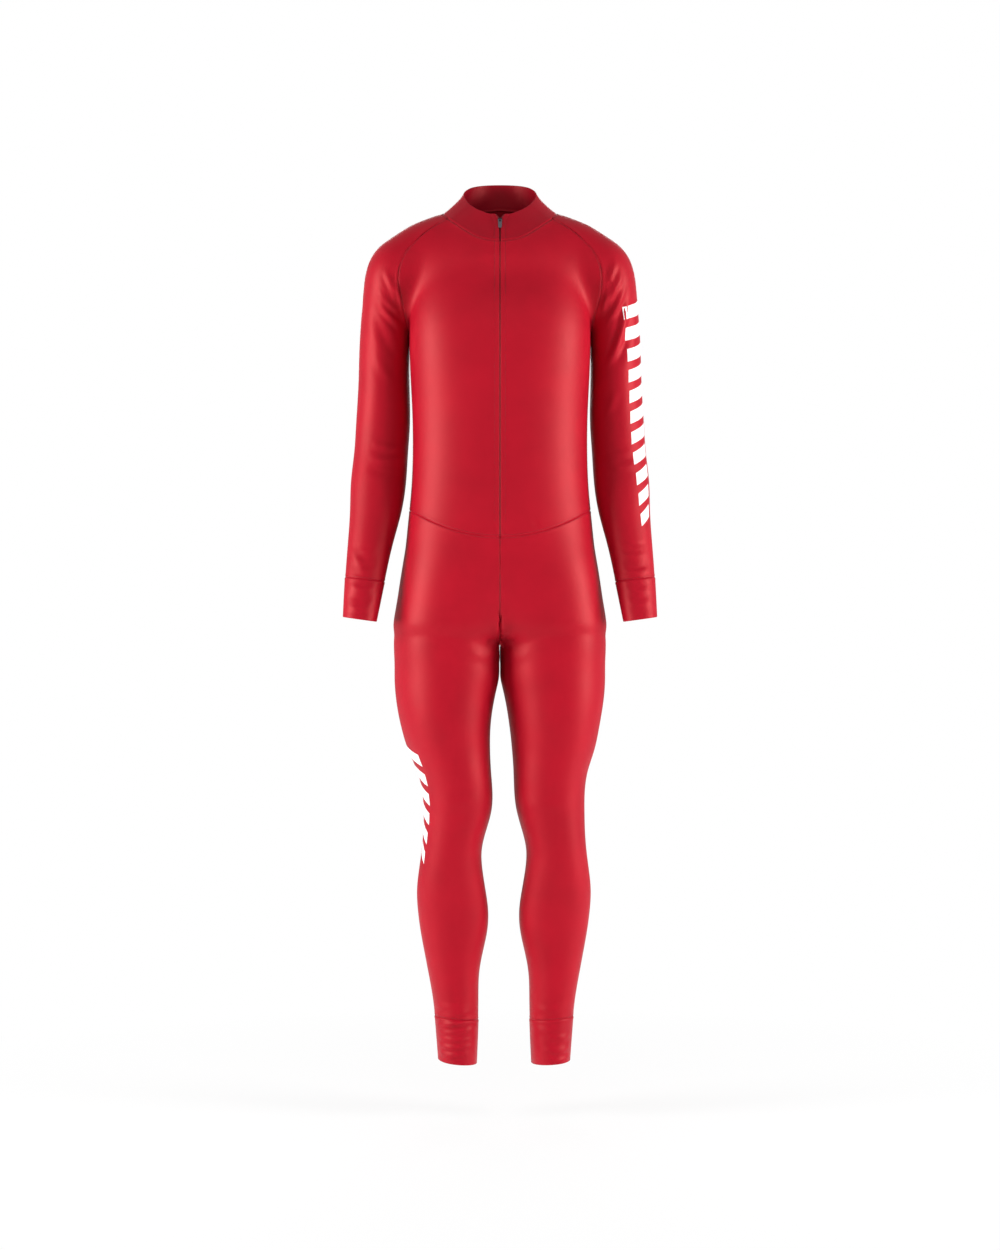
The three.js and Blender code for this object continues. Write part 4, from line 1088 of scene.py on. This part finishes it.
@lru_cache(maxsize=None)
def knit_material(kind):
    """Warp knit of polyester and elastane. Its fine bright filaments give a satin gloss that spreads
    into broad soft highlights where it turns away, over a deep, even red."""
    colours = bpy.context.scene.ski_suit_colours
    material, tree = start_material(f"satin_stretch_{kind}")
    cloth = add_node(tree, "ShaderNodeUVMap", "UV", {"uv_map": "cloth"})
    place = add_node(tree, "ShaderNodeTexCoord", "Object")
    # Wales run down the piece and courses across it; both in metres along the cloth.
    wales = add_node(tree, "ShaderNodeTexWave", "Fac", {"bands_direction": "X"},
                     Vector=cloth, Scale=BAND_METRES / (WALE_MM * MM))
    courses = add_node(tree, "ShaderNodeTexWave", "Fac", {"bands_direction": "Y"},
                       Vector=cloth, Scale=BAND_METRES / (COURSE_MM * MM))
    loops = add_node(tree, "ShaderNodeMath", 0, {"operation": "MULTIPLY_ADD"}, i0=courses, i1=0.45, i2=wales)
    # The cloth is stretched a little unevenly, which opens the loops: patches 60 mm across.
    stretch = add_node(tree, "ShaderNodeTexNoise", "Fac", Vector=place, Scale=16.0, Detail=3.0, Roughness=0.5)
    fuzz = add_node(tree, "ShaderNodeTexNoise", "Fac", Vector=place, Scale=900.0, Detail=2.0)
    base = colours.knit if kind == "knit" else colours.band
    patches = tones(add_node(tree, "ShaderNodeValToRGB", Fac=stretch), base, 0.93, 1.06, (0.3, 0.7))
    dark = add_node(tree, "ShaderNodeMapRange", 0, Value=loops,
                    From_Min=0.0, From_Max=1.45, To_Min=0.9, To_Max=1.04)
    colour = add_node(tree, "ShaderNodeVectorMath", 0, {"operation": "SCALE"}, i0=patches, Scale=dark)
    rough = add_node(tree, "ShaderNodeMapRange", 0, Value=fuzz,
                     From_Min=0.3, From_Max=0.7, To_Min=0.40, To_Max=0.50)
    bump = add_node(tree, "ShaderNodeBump", "Normal", Strength=0.35, Distance=0.00012, Height=loops)
    shader = add_node(
        tree, "ShaderNodeBsdfPrincipled", 0, Base_Color=colour, Roughness=rough, Normal=bump, IOR=1.5,
        Specular_IOR_Level=0.5, Specular_Tint=rgba(linear("#ff8c84")),
        Sheen_Weight=0.05, Sheen_Roughness=0.35, Sheen_Tint=rgba(linear("#ff7a70")))
    add_node(tree, "ShaderNodeOutputMaterial", Surface=shader)
    return material


@lru_cache(maxsize=None)
def thread_material():
    """Spun polyester sewing thread: matt, a shade deeper than the cloth, with its twist across it."""
    material, tree = start_material("spun_polyester_thread")
    place = add_node(tree, "ShaderNodeTexCoord", "Object")
    twist = add_node(tree, "ShaderNodeTexWave", "Fac", {"bands_direction": "DIAGONAL"},
                     Vector=place, Scale=400.0, Distortion=2.0)
    ramp = add_node(tree, "ShaderNodeValToRGB", Fac=twist)
    colour = tones(ramp, bpy.context.scene.ski_suit_colours.thread, 0.8, 1.1)
    shader = add_node(tree, "ShaderNodeBsdfPrincipled", 0, Base_Color=colour, Roughness=0.6)
    add_node(tree, "ShaderNodeOutputMaterial", Surface=shader)
    return material


@lru_cache(maxsize=None)
def tape_material():
    """Woven polyester zip tape: a fine herringbone that keeps it matt and dense."""
    material, tree = start_material("woven_polyester_tape")
    cloth = add_node(tree, "ShaderNodeUVMap", "UV", {"uv_map": "cloth"})
    ribs = add_node(tree, "ShaderNodeTexWave", "Fac", {"bands_direction": "DIAGONAL"},
                    Vector=cloth, Scale=300.0, Distortion=0.6)
    ramp = add_node(tree, "ShaderNodeValToRGB", Fac=ribs)
    colour = tones(ramp, bpy.context.scene.ski_suit_colours.zip, 0.82, 1.05)
    bump = add_node(tree, "ShaderNodeBump", "Normal", Strength=0.4, Distance=0.0001, Height=ribs)
    shader = add_node(tree, "ShaderNodeBsdfPrincipled", 0, Base_Color=colour, Roughness=0.7, Normal=bump)
    add_node(tree, "ShaderNodeOutputMaterial", Surface=shader)
    return material


def moulded_material(name, colour, low, high, grain, ior):
    """A moulded or coated surface with a fine grain and a little wear in its gloss."""
    material, tree = start_material(name)
    place = add_node(tree, "ShaderNodeTexCoord", "Object")
    wear = add_node(tree, "ShaderNodeTexNoise", "Fac", Vector=place, Scale=grain, Detail=4.0)
    rough = add_node(tree, "ShaderNodeMapRange", 0, Value=wear,
                     From_Min=0.3, From_Max=0.7, To_Min=low, To_Max=high)
    tone = tones(add_node(tree, "ShaderNodeValToRGB", Fac=wear), colour, 0.88, 1.08)
    bump = add_node(tree, "ShaderNodeBump", "Normal", Strength=0.2, Distance=0.00005, Height=wear)
    shader = add_node(tree, "ShaderNodeBsdfPrincipled", 0,
                      Base_Color=tone, Roughness=rough, Normal=bump, IOR=ior)
    add_node(tree, "ShaderNodeOutputMaterial", Surface=shader)
    return material


@lru_cache(maxsize=None)
def coil_material():
    """Moulded polyester monofilament: the coil of the zip, smooth and slightly glossy."""
    colour = bpy.context.scene.ski_suit_colours.zip
    return moulded_material("polyester_monofilament", colour, 0.35, 0.45, 700.0, 1.57)


@lru_cache(maxsize=None)
def enamel_material():
    """Black enamel over a die-cast zinc slider: an even, satin coat."""
    colour = bpy.context.scene.ski_suit_colours.slider
    return moulded_material("satin_black_enamel", colour, 0.3, 0.42, 900.0, 1.5)


@lru_cache(maxsize=None)
def pull_material():
    """Moulded grey nylon tab: eggshell gloss from a spark-eroded mould."""
    colour = bpy.context.scene.ski_suit_colours.pull
    return moulded_material("moulded_grey_nylon", colour, 0.4, 0.55, 1200.0, 1.53)


@lru_cache(maxsize=None)
def print_material():
    """White heat transfer film: matt, slightly broken up by the grain of the knit under it."""
    colour = bpy.context.scene.ski_suit_colours.print
    return moulded_material("matt_white_transfer", colour, 0.5, 0.62, 500.0, 1.48)


# ---- Settings that a user would change ----


class SkiSuitCloth(bpy.types.PropertyGroup):
    knit_thickness: bpy.props.FloatProperty(
        name="Knit thickness", description="Thickness of one layer of the knit",
        default=0.0011, min=0.0004, max=0.003, subtype="DISTANCE", unit="LENGTH", precision=4)
    band_thickness: bpy.props.FloatProperty(
        name="Band thickness", description="Thickness of the doubled collar and cuffs",
        default=0.0022, min=0.0008, max=0.005, subtype="DISTANCE", unit="LENGTH", precision=4)
    fold_strength: bpy.props.FloatProperty(
        name="Folds", description="How strongly the folds stand out",
        default=1.0, min=0.0, max=2.0, subtype="FACTOR")
    stitch_pitch: bpy.props.FloatProperty(
        name="Stitch pitch", description="Distance from one stitch to the next",
        default=0.003, min=0.002, max=0.01, subtype="DISTANCE", unit="LENGTH", precision=4)
    tooth_pitch: bpy.props.FloatProperty(
        name="Tooth pitch", description="Distance from one turn of the zip's coil to the next",
        default=0.0014, min=0.001, max=0.003, subtype="DISTANCE", unit="LENGTH", precision=4)


def colour_setting(name, words, text):
    return bpy.props.FloatVectorProperty(
        name=name, description=words, default=linear(text), size=3, min=0.0, max=1.0, subtype="COLOR")


class SkiSuitColours(bpy.types.PropertyGroup):
    knit: colour_setting("Knit", "Colour of the body, sleeves and legs", "#b00c24")
    band: colour_setting("Bands", "Colour of the collar and cuffs", "#ae0b24")
    thread: colour_setting("Thread", "Colour of the sewing thread", "#860a1c")
    zip: colour_setting("Zip", "Colour of the zip's tape and coil", "#900a1e")
    slider: colour_setting("Slider", "Colour of the zip's slider", "#262328")
    pull: colour_setting("Pull tab", "Colour of the pull tab", "#5b565c")
    print: colour_setting("Print", "Colour of the printed bars", "#f6f4f4")


# ---- Operators: one for each group of pieces ----

def sew(panel, node, banded):
    """Makes a panel in place of its solid."""
    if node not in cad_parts:
        raise RuntimeError(f"The packed suit has no {node} to sew in place of")
    cloth = bpy.context.scene.ski_suit_cloth
    thickness = (cloth.band_thickness if banded else cloth.knit_thickness) / MM
    slot = "double_knit" if banded else "knit"
    piece = panel.build(thickness, knit_material("band" if banded else "knit"), slot)
    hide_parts(node)


class SKISUIT_OT_fronts(bpy.types.Operator):
    """Sews the two front panels, from the zip to the raglan and side seams"""
    bl_idname = "ski_suit.fronts"
    bl_label = "Fronts"

    def execute(self, context):
        for side in (LEFT, RIGHT):
            sew(front_panel(side), f"front_{side_name(side)}", False)
        return {"FINISHED"}


class SKISUIT_OT_back(bpy.types.Operator):
    """Sews the back panel"""
    bl_idname = "ski_suit.back"
    bl_label = "Back"

    def execute(self, context):
        sew(back_panel(), "back", False)
        return {"FINISHED"}


class SKISUIT_OT_sleeves(bpy.types.Operator):
    """Sews the raglan sleeves and their doubled cuffs"""
    bl_idname = "ski_suit.sleeves"
    bl_label = "Sleeves"

    def execute(self, context):
        for side in (LEFT, RIGHT):
            sew(sleeve_panel(side), f"sleeve_{side_name(side)}", False)
            sew(cuff_panel(side, "arm"), f"cuff_{side_name(side)}", True)
        return {"FINISHED"}


class SKISUIT_OT_collar(bpy.types.Operator):
    """Sews the doubled stand collar"""
    bl_idname = "ski_suit.collar"
    bl_label = "Collar"

    def execute(self, context):
        sew(collar_panel(), "collar", True)
        return {"FINISHED"}


class SKISUIT_OT_legs(bpy.types.Operator):
    """Sews the legs from the waist down, and their doubled ankle cuffs"""
    bl_idname = "ski_suit.legs"
    bl_label = "Legs"

    def execute(self, context):
        for side in (LEFT, RIGHT):
            sew(leg_panel(side), f"leg_{side_name(side)}", False)
            sew(cuff_panel(side, "leg"), f"ankle_cuff_{side_name(side)}", True)
        return {"FINISHED"}


TAPE = {"wide": 10.0, "thick": 1.0, "inner": 2.3, "under_collar": 2.9, "under_front": 1.6}
TAPE_LANES = (0, 2, 5, TAPE["wide"])
COIL = {"deep": 1.25, "wide": 3.4, "high": 1.3, "stagger": 0.55}
CORD = {"deep": 1.75, "wide": 4.2, "high": 0.8, "long": 2.6}      # the core that the coil turns round
OPEN_COIL = {"out": 1.6, "deep": 1.3, "wide": 2.6, "high": 1.2}
SLIDER_CLEAR = 4         # the coil is closed up to this far over the slider's foot


def run_of(line):
    return np.linalg.norm(np.diff(line, axis=0), axis=1).sum()


def on_side(side):
    return (lambda line: line) if side == LEFT else mirrored


def zip_line():
    """The left front edge from the rim down: its points, ways across and normals, and the collar's rows."""
    collar, front = collar_panel(), front_panel(LEFT)
    edge = np.vstack([collar.grid[::-1, 0], front.grid[1:, 0]])
    beside = np.vstack([collar.grid[::-1, 3], front.grid[1:, 3]])
    normals = np.vstack([collar.normals[::-1, 0], front.normals[1:, 0]])
    return edge, unit(beside - edge), normals, len(collar.grid)


def zip_tape(side, edge, across, normals, depth):
    lanes = [edge + across * (lane - TAPE["inner"]) - normals * depth[:, None] for lane in TAPE_LANES]
    grid = on_side(side)(np.stack(lanes, 1))
    flat = on_side(side)(np.repeat(normals[:, None], len(lanes), 1))
    panel = Panel(f"zip_tape_{side_name(side)}_woven", None, grid, flat, False,
                  hems=(0, len(grid) - 1, "first", "last"))
    tape = panel.build(TAPE["thick"], tape_material(), "zip_tape")
    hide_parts(f"zip_tape_{side_name(side)}")


def closed_coil(middle, normals, pitch):
    """The coil's turns across the middle, one from each side by turns, and the cord under them."""
    line = middle - normals * COIL["deep"]
    count = int(run_of(line) / pitch)
    row, ups = evenly(line, count), unit(evenly(normals, count))
    ways = np.tile([1.0, 0.0, 0.0], (len(row), 1))
    stagger = np.where(np.arange(len(row)) % 2, COIL["stagger"], -COIL["stagger"])[:, None] * ways
    turns = capsules(row + stagger, ways, ups, COIL["wide"], pitch * 0.82, COIL["high"])
    cord, over = evenly(line, count // 2), unit(evenly(normals, count // 2))
    core = capsules(cord - over * (CORD["deep"] - COIL["deep"]), unit(np.gradient(cord, axis=0)), over,
                    pitch * CORD["long"], CORD["wide"], CORD["high"])
    return [turns, core]


def open_coil(side, edge, across, normals, pitch):
    """The coil's turns on one tape above the slider."""
    line = edge - across * OPEN_COIL["out"] - normals * OPEN_COIL["deep"]
    count = int(run_of(line) / pitch)
    row, ways, ups = (on_side(side)(part) for part in
                      (evenly(line, count), unit(evenly(across, count)), unit(evenly(normals, count))))
    return capsules(row, ways, ups, OPEN_COIL["wide"], pitch * 0.75, OPEN_COIL["high"])


class SKISUIT_OT_zip(bpy.types.Operator):
    """Sets in the zip: two woven tapes, the coil between them, the slider and its tab"""
    bl_idname = "ski_suit.zip"
    bl_label = "Zip"

    def execute(self, context):
        pitch = context.scene.ski_suit_cloth.tooth_pitch / MM
        edge, across, normals, collar_rows = zip_line()
        behind = np.arange(len(edge)) <= collar_rows
        depth = np.where(behind, TAPE["under_collar"], TAPE["under_front"])
        depth = np.convolve(np.pad(depth, 4, "edge"), np.ones(9) / 9, "valid")
        below = edge[:, 2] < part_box("slider")[0].z / MM + SLIDER_CLEAR
        middle = edge * np.array([0, 1, 1])
        parts = closed_coil(middle[below], normals[below], pitch)
        for side in (LEFT, RIGHT):
            zip_tape(side, edge, across, normals, depth)
            parts.append(open_coil(side, edge[~below], across[~below], normals[~below], pitch))
        coil = new_piece("zip_coil", *joined_parts(parts), coil_material(), "zip_coil")
        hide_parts("zip_chain")
        for node, material in (("slider", enamel_material()), ("pull_tab", pull_material())):
            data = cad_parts[node].data
            data.materials.clear()
            data.materials.append(material)
        return {"FINISHED"}


class SKISUIT_OT_stitching(bpy.types.Operator):
    """Lays the rows of stitches along the seams and the zip"""
    bl_idname = "ski_suit.stitching"
    bl_label = "Stitching"

    def execute(self, context):
        pitch = context.scene.ski_suit_cloth.stitch_pitch / MM
        groups = {"body_threads": [], "limb_threads": [], "collar_threads": []}
        for side in (LEFT, RIGHT):
            front = front_panel(side)
            g = front.grid
            groups["body_threads"] += [
                stitches(front, g[:, 0], g[:, 5], 6.6, pitch),
                stitches(front, g[:, -1], g[:, -6], 2.6, pitch),
                stitches(front, g[-1], g[-6], 2.6, pitch),
                stitches(front, g[0], g[6], 2.6, pitch),
            ]
            sleeve, cuff = sleeve_panel(side), cuff_panel(side, "arm")
            lower, ankle = leg_panel(side), cuff_panel(side, "leg")
            groups["limb_threads"] += [
                stitches(sleeve, sleeve.grid[0], sleeve.grid[5], 2.6, pitch),
                stitches(sleeve, sleeve.grid[-1], sleeve.grid[-6], 2.4, pitch),
                stitches(lower, lower.grid[0], lower.grid[5], 2.6, pitch),
                stitches(lower, lower.grid[-1], lower.grid[-5], 2.4, pitch),
            ]
        back = back_panel()
        g = back.grid
        groups["body_threads"] += [
            stitches(back, g[:, 0], g[:, 6], 2.6, pitch),
            stitches(back, g[:, -1], g[:, -7], 2.6, pitch),
            stitches(back, g[-1], g[-6], 2.6, pitch),
            stitches(back, g[0], g[6], 2.6, pitch),
        ]
        collar = collar_panel()
        g = collar.grid
        groups["collar_threads"] += [
            stitches(collar, g[4:-3, 0], g[4:-3, 8], 6.6, pitch, 0.25),
            stitches(collar, g[4:-3, -1], g[4:-3, -9], 6.6, pitch, 0.25),
        ]
        slots = {"body_threads": "knit", "limb_threads": "knit", "collar_threads": "double_knit"}
        for name, parts in groups.items():
            new_piece(name, *joined_parts(parts), thread_material(), slots[name])
        return {"FINISHED"}


BAR_GRID = (6, 13)       # rows and columns of points in each printed bar
BAR_PROUD, BAR_SUNK = 0.32, 0.1
BAR_SHARE = 0.6          # how much of each step down the column is printed
# Printed bars: where the column starts and ends, its middle turn round the limb from the inner side,
# and each bar's width at the top and the bottom of the column.
PRINTS = [
    {"name": "sleeve_print", "limb": "arm", "side": LEFT, "top": -150, "foot": -520,
     "turn": 140, "wide": (62, 24), "bars": 11, "slant": 9},
    {"name": "leg_print", "limb": "leg", "side": RIGHT, "top": -905, "foot": -1090,
     "turn": 162, "wide": (58, 22), "bars": 6, "slant": 9},
]


class SKISUIT_OT_prints(bpy.types.Operator):
    """Presses a plain column of slanted white bars on one sleeve and one leg"""
    bl_idname = "ski_suit.prints"
    bl_label = "Printed bars"

    def execute(self, context):
        rows, columns = BAR_GRID
        for p in PRINTS:
            on_arm = p["limb"] == "arm"
            panel = (sleeve_panel if on_arm else leg_panel)(p["side"])
            limb = ARM if on_arm else LEG
            step = (p["top"] - p["foot"]) / (p["bars"] - 0.4)
            parts = []
            for k, wide in enumerate(np.linspace(*p["wide"], p["bars"])):
                z = p["top"] - k * step
                radius = float(limb["half"](z) + limb["deep" if on_arm else "front"](z)) / 2
                turns = math.radians(p["turn"]) + np.linspace(-0.5, 0.5, columns) * wide / radius
                down = np.linspace(0, 1, rows)[:, None] * step * BAR_SHARE
                levels = z - down + p["slant"] * np.linspace(-1, 1, columns)
                base = limb_ring(panel.form, limb, p["side"], levels.ravel(), 0, turns=np.tile(turns, rows))
                face, normals = (part.reshape(rows, columns, 3) for part in panel.on_face(base))
                parts.append(slab(face + normals * BAR_PROUD, face - normals * BAR_SUNK, normals))
            new_piece(p["name"], *joined_parts(parts), print_material(), "print")
        return {"FINISHED"}


def slab(top, foot, normals):
    """A closed thin patch between two grids."""
    quads, [(loop, after)] = faces_of(top, normals, False)
    under = top.shape[0] * top.shape[1]
    rim = np.stack([loop, after, after + under, loop + under], 1)
    points = np.concatenate([top.reshape(-1, 3), foot.reshape(-1, 3)])
    return points, np.concatenate([quads, quads[:, ::-1] + under, rim])


LENS_MM = 76.2
CAMERA_AT = (0.0, -4.5, -0.695)
FLOOR_AT = -1.53         # where the soles of the wearer's feet would be
FLOOR_REACH = 14.0
WHITE = (1.0, 1.0, 1.0, 1.0)
ROOM_LIGHT = 0.33
LIT_AT = (0, 0, -0.45)   # all the lamps point here
# Place, width and height, and watts: two tall soft boxes at the sides, weaker ones in front and behind.
SOFT_BOXES = {
    "side_box_right": ((-2.3, -0.8, -0.3), (0.9, 1.4), 62.0),
    "side_box_left": ((2.3, -0.8, -0.3), (0.9, 1.4), 62.0),
    "front_box": ((0.0, -4.2, 1.3), (2.2, 1.6), 12.0),
    "back_box": ((0.0, 3.4, 0.8), (2.4, 1.6), 40.0),
}


class SKISUIT_OT_stage(bpy.types.Operator):
    """Sets up the pale floor, the soft lamps, the world and the camera"""
    bl_idname = "ski_suit.stage"
    bl_label = "Stage"

    def execute(self, context):
        scene = context.scene
        mesh = bpy.data.meshes.new("floor")
        around = ((-1, -1), (1, -1), (1, 1), (-1, 1))
        corners = [(x * FLOOR_REACH, y * FLOOR_REACH, FLOOR_AT) for x, y in around]
        mesh.from_pydata(corners, [], [(0, 1, 2, 3)])
        floor = bpy.data.objects.new("floor", mesh)
        scene.collection.objects.link(floor)
        # Matt white paper: lit for the shadow, and white where the camera looks at it.
        material, tree = start_material("matt_white_paper")
        ray = add_node(tree, "ShaderNodeLightPath", "Is Camera Ray")
        paper = add_node(tree, "ShaderNodeBsdfDiffuse", 0, Color=rgba(linear("#f2f2f2")))
        glow = add_node(tree, "ShaderNodeEmission", 0, Color=WHITE, Strength=1.0)
        # The shadow shows within a metre or so of the suit, and the paper is plain white beyond.
        place = add_node(tree, "ShaderNodeTexCoord", "Object")
        flat = add_node(tree, "ShaderNodeVectorMath", 0, {"operation": "MULTIPLY"}, i0=place, i1=(1, 1, 0))
        away = add_node(tree, "ShaderNodeVectorMath", "Value", {"operation": "LENGTH"}, i0=flat)
        white = add_node(tree, "ShaderNodeMapRange", 0, Value=away,
                         From_Min=0.25, From_Max=1.3, To_Min=0.8, To_Max=1.0)
        share = add_node(tree, "ShaderNodeMath", 0, {"operation": "MULTIPLY"}, i0=ray, i1=white)
        mix = add_node(tree, "ShaderNodeMixShader", 0, Fac=share, i1=paper, i2=glow)
        add_node(tree, "ShaderNodeOutputMaterial", Surface=mix)
        mesh.materials.append(material)

        world = bpy.data.worlds.new("soft_room")
        scene.world = world
        world.use_nodes = True
        tree = world.node_tree
        tree.nodes.clear()
        ray = add_node(tree, "ShaderNodeLightPath", "Is Camera Ray")
        room = add_node(tree, "ShaderNodeBackground", 0, Color=WHITE, Strength=ROOM_LIGHT)
        seen = add_node(tree, "ShaderNodeBackground", 0, Color=WHITE, Strength=1.0)
        mix = add_node(tree, "ShaderNodeMixShader", 0, Fac=ray, i1=room, i2=seen)
        add_node(tree, "ShaderNodeOutputWorld", Surface=mix)

        for name, (place, size, watts) in SOFT_BOXES.items():
            data = bpy.data.lights.new(name, "AREA")
            data.shape = "RECTANGLE"
            data.size, data.size_y = size
            data.energy = watts
            lamp = bpy.data.objects.new(name, data)
            lamp.location = place
            way = Vector(LIT_AT) - Vector(place)
            lamp.rotation_euler = way.to_track_quat("-Z", "Y").to_euler()
            scene.collection.objects.link(lamp)

        data = bpy.data.cameras.new("camera")
        data.lens = LENS_MM
        camera = bpy.data.objects.new("camera", data)
        camera.location = CAMERA_AT
        camera.rotation_euler = (math.radians(90), 0, 0)
        scene.collection.objects.link(camera)
        scene.camera = camera
        scene.view_settings.view_transform = "Standard"
        return {"FINISHED"}


class SKISUIT_PT_panel(bpy.types.Panel):
    """The suit's settings and pieces"""
    bl_idname = "SKISUIT_PT_panel"
    bl_label = "Nordic ski suit"
    bl_space_type = "VIEW_3D"
    bl_region_type = "UI"
    bl_category = "Ski Suit"

    def draw(self, context):
        layout = self.layout
        for group in (context.scene.ski_suit_cloth, context.scene.ski_suit_colours):
            box = layout.box()
            for name in group.__annotations__:
                box.prop(group, name)
        for operator in OPERATORS:
            layout.operator(operator.bl_idname)


OPERATORS = [
    SKISUIT_OT_fronts, SKISUIT_OT_back, SKISUIT_OT_sleeves, SKISUIT_OT_collar, SKISUIT_OT_legs,
    SKISUIT_OT_zip, SKISUIT_OT_stitching, SKISUIT_OT_prints, SKISUIT_OT_stage,
]
CLASSES = [SkiSuitCloth, SkiSuitColours, *OPERATORS, SKISUIT_PT_panel]


def register():
    for cls in CLASSES:
        bpy.utils.register_class(cls)
    bpy.types.Scene.ski_suit_cloth = bpy.props.PointerProperty(type=SkiSuitCloth)
    bpy.types.Scene.ski_suit_colours = bpy.props.PointerProperty(type=SkiSuitColours)


def unregister():
    del bpy.types.Scene.ski_suit_colours
    del bpy.types.Scene.ski_suit_cloth
    for cls in reversed(CLASSES):
        bpy.utils.unregister_class(cls)


def main():
    register()
    bpy.ops.ski_suit.fronts()
    bpy.ops.ski_suit.back()
    bpy.ops.ski_suit.sleeves()
    bpy.ops.ski_suit.collar()
    bpy.ops.ski_suit.legs()
    bpy.ops.ski_suit.zip()
    bpy.ops.ski_suit.stitching()
    bpy.ops.ski_suit.prints()
    bpy.ops.ski_suit.stage()


if __name__ == "__main__":
    main()
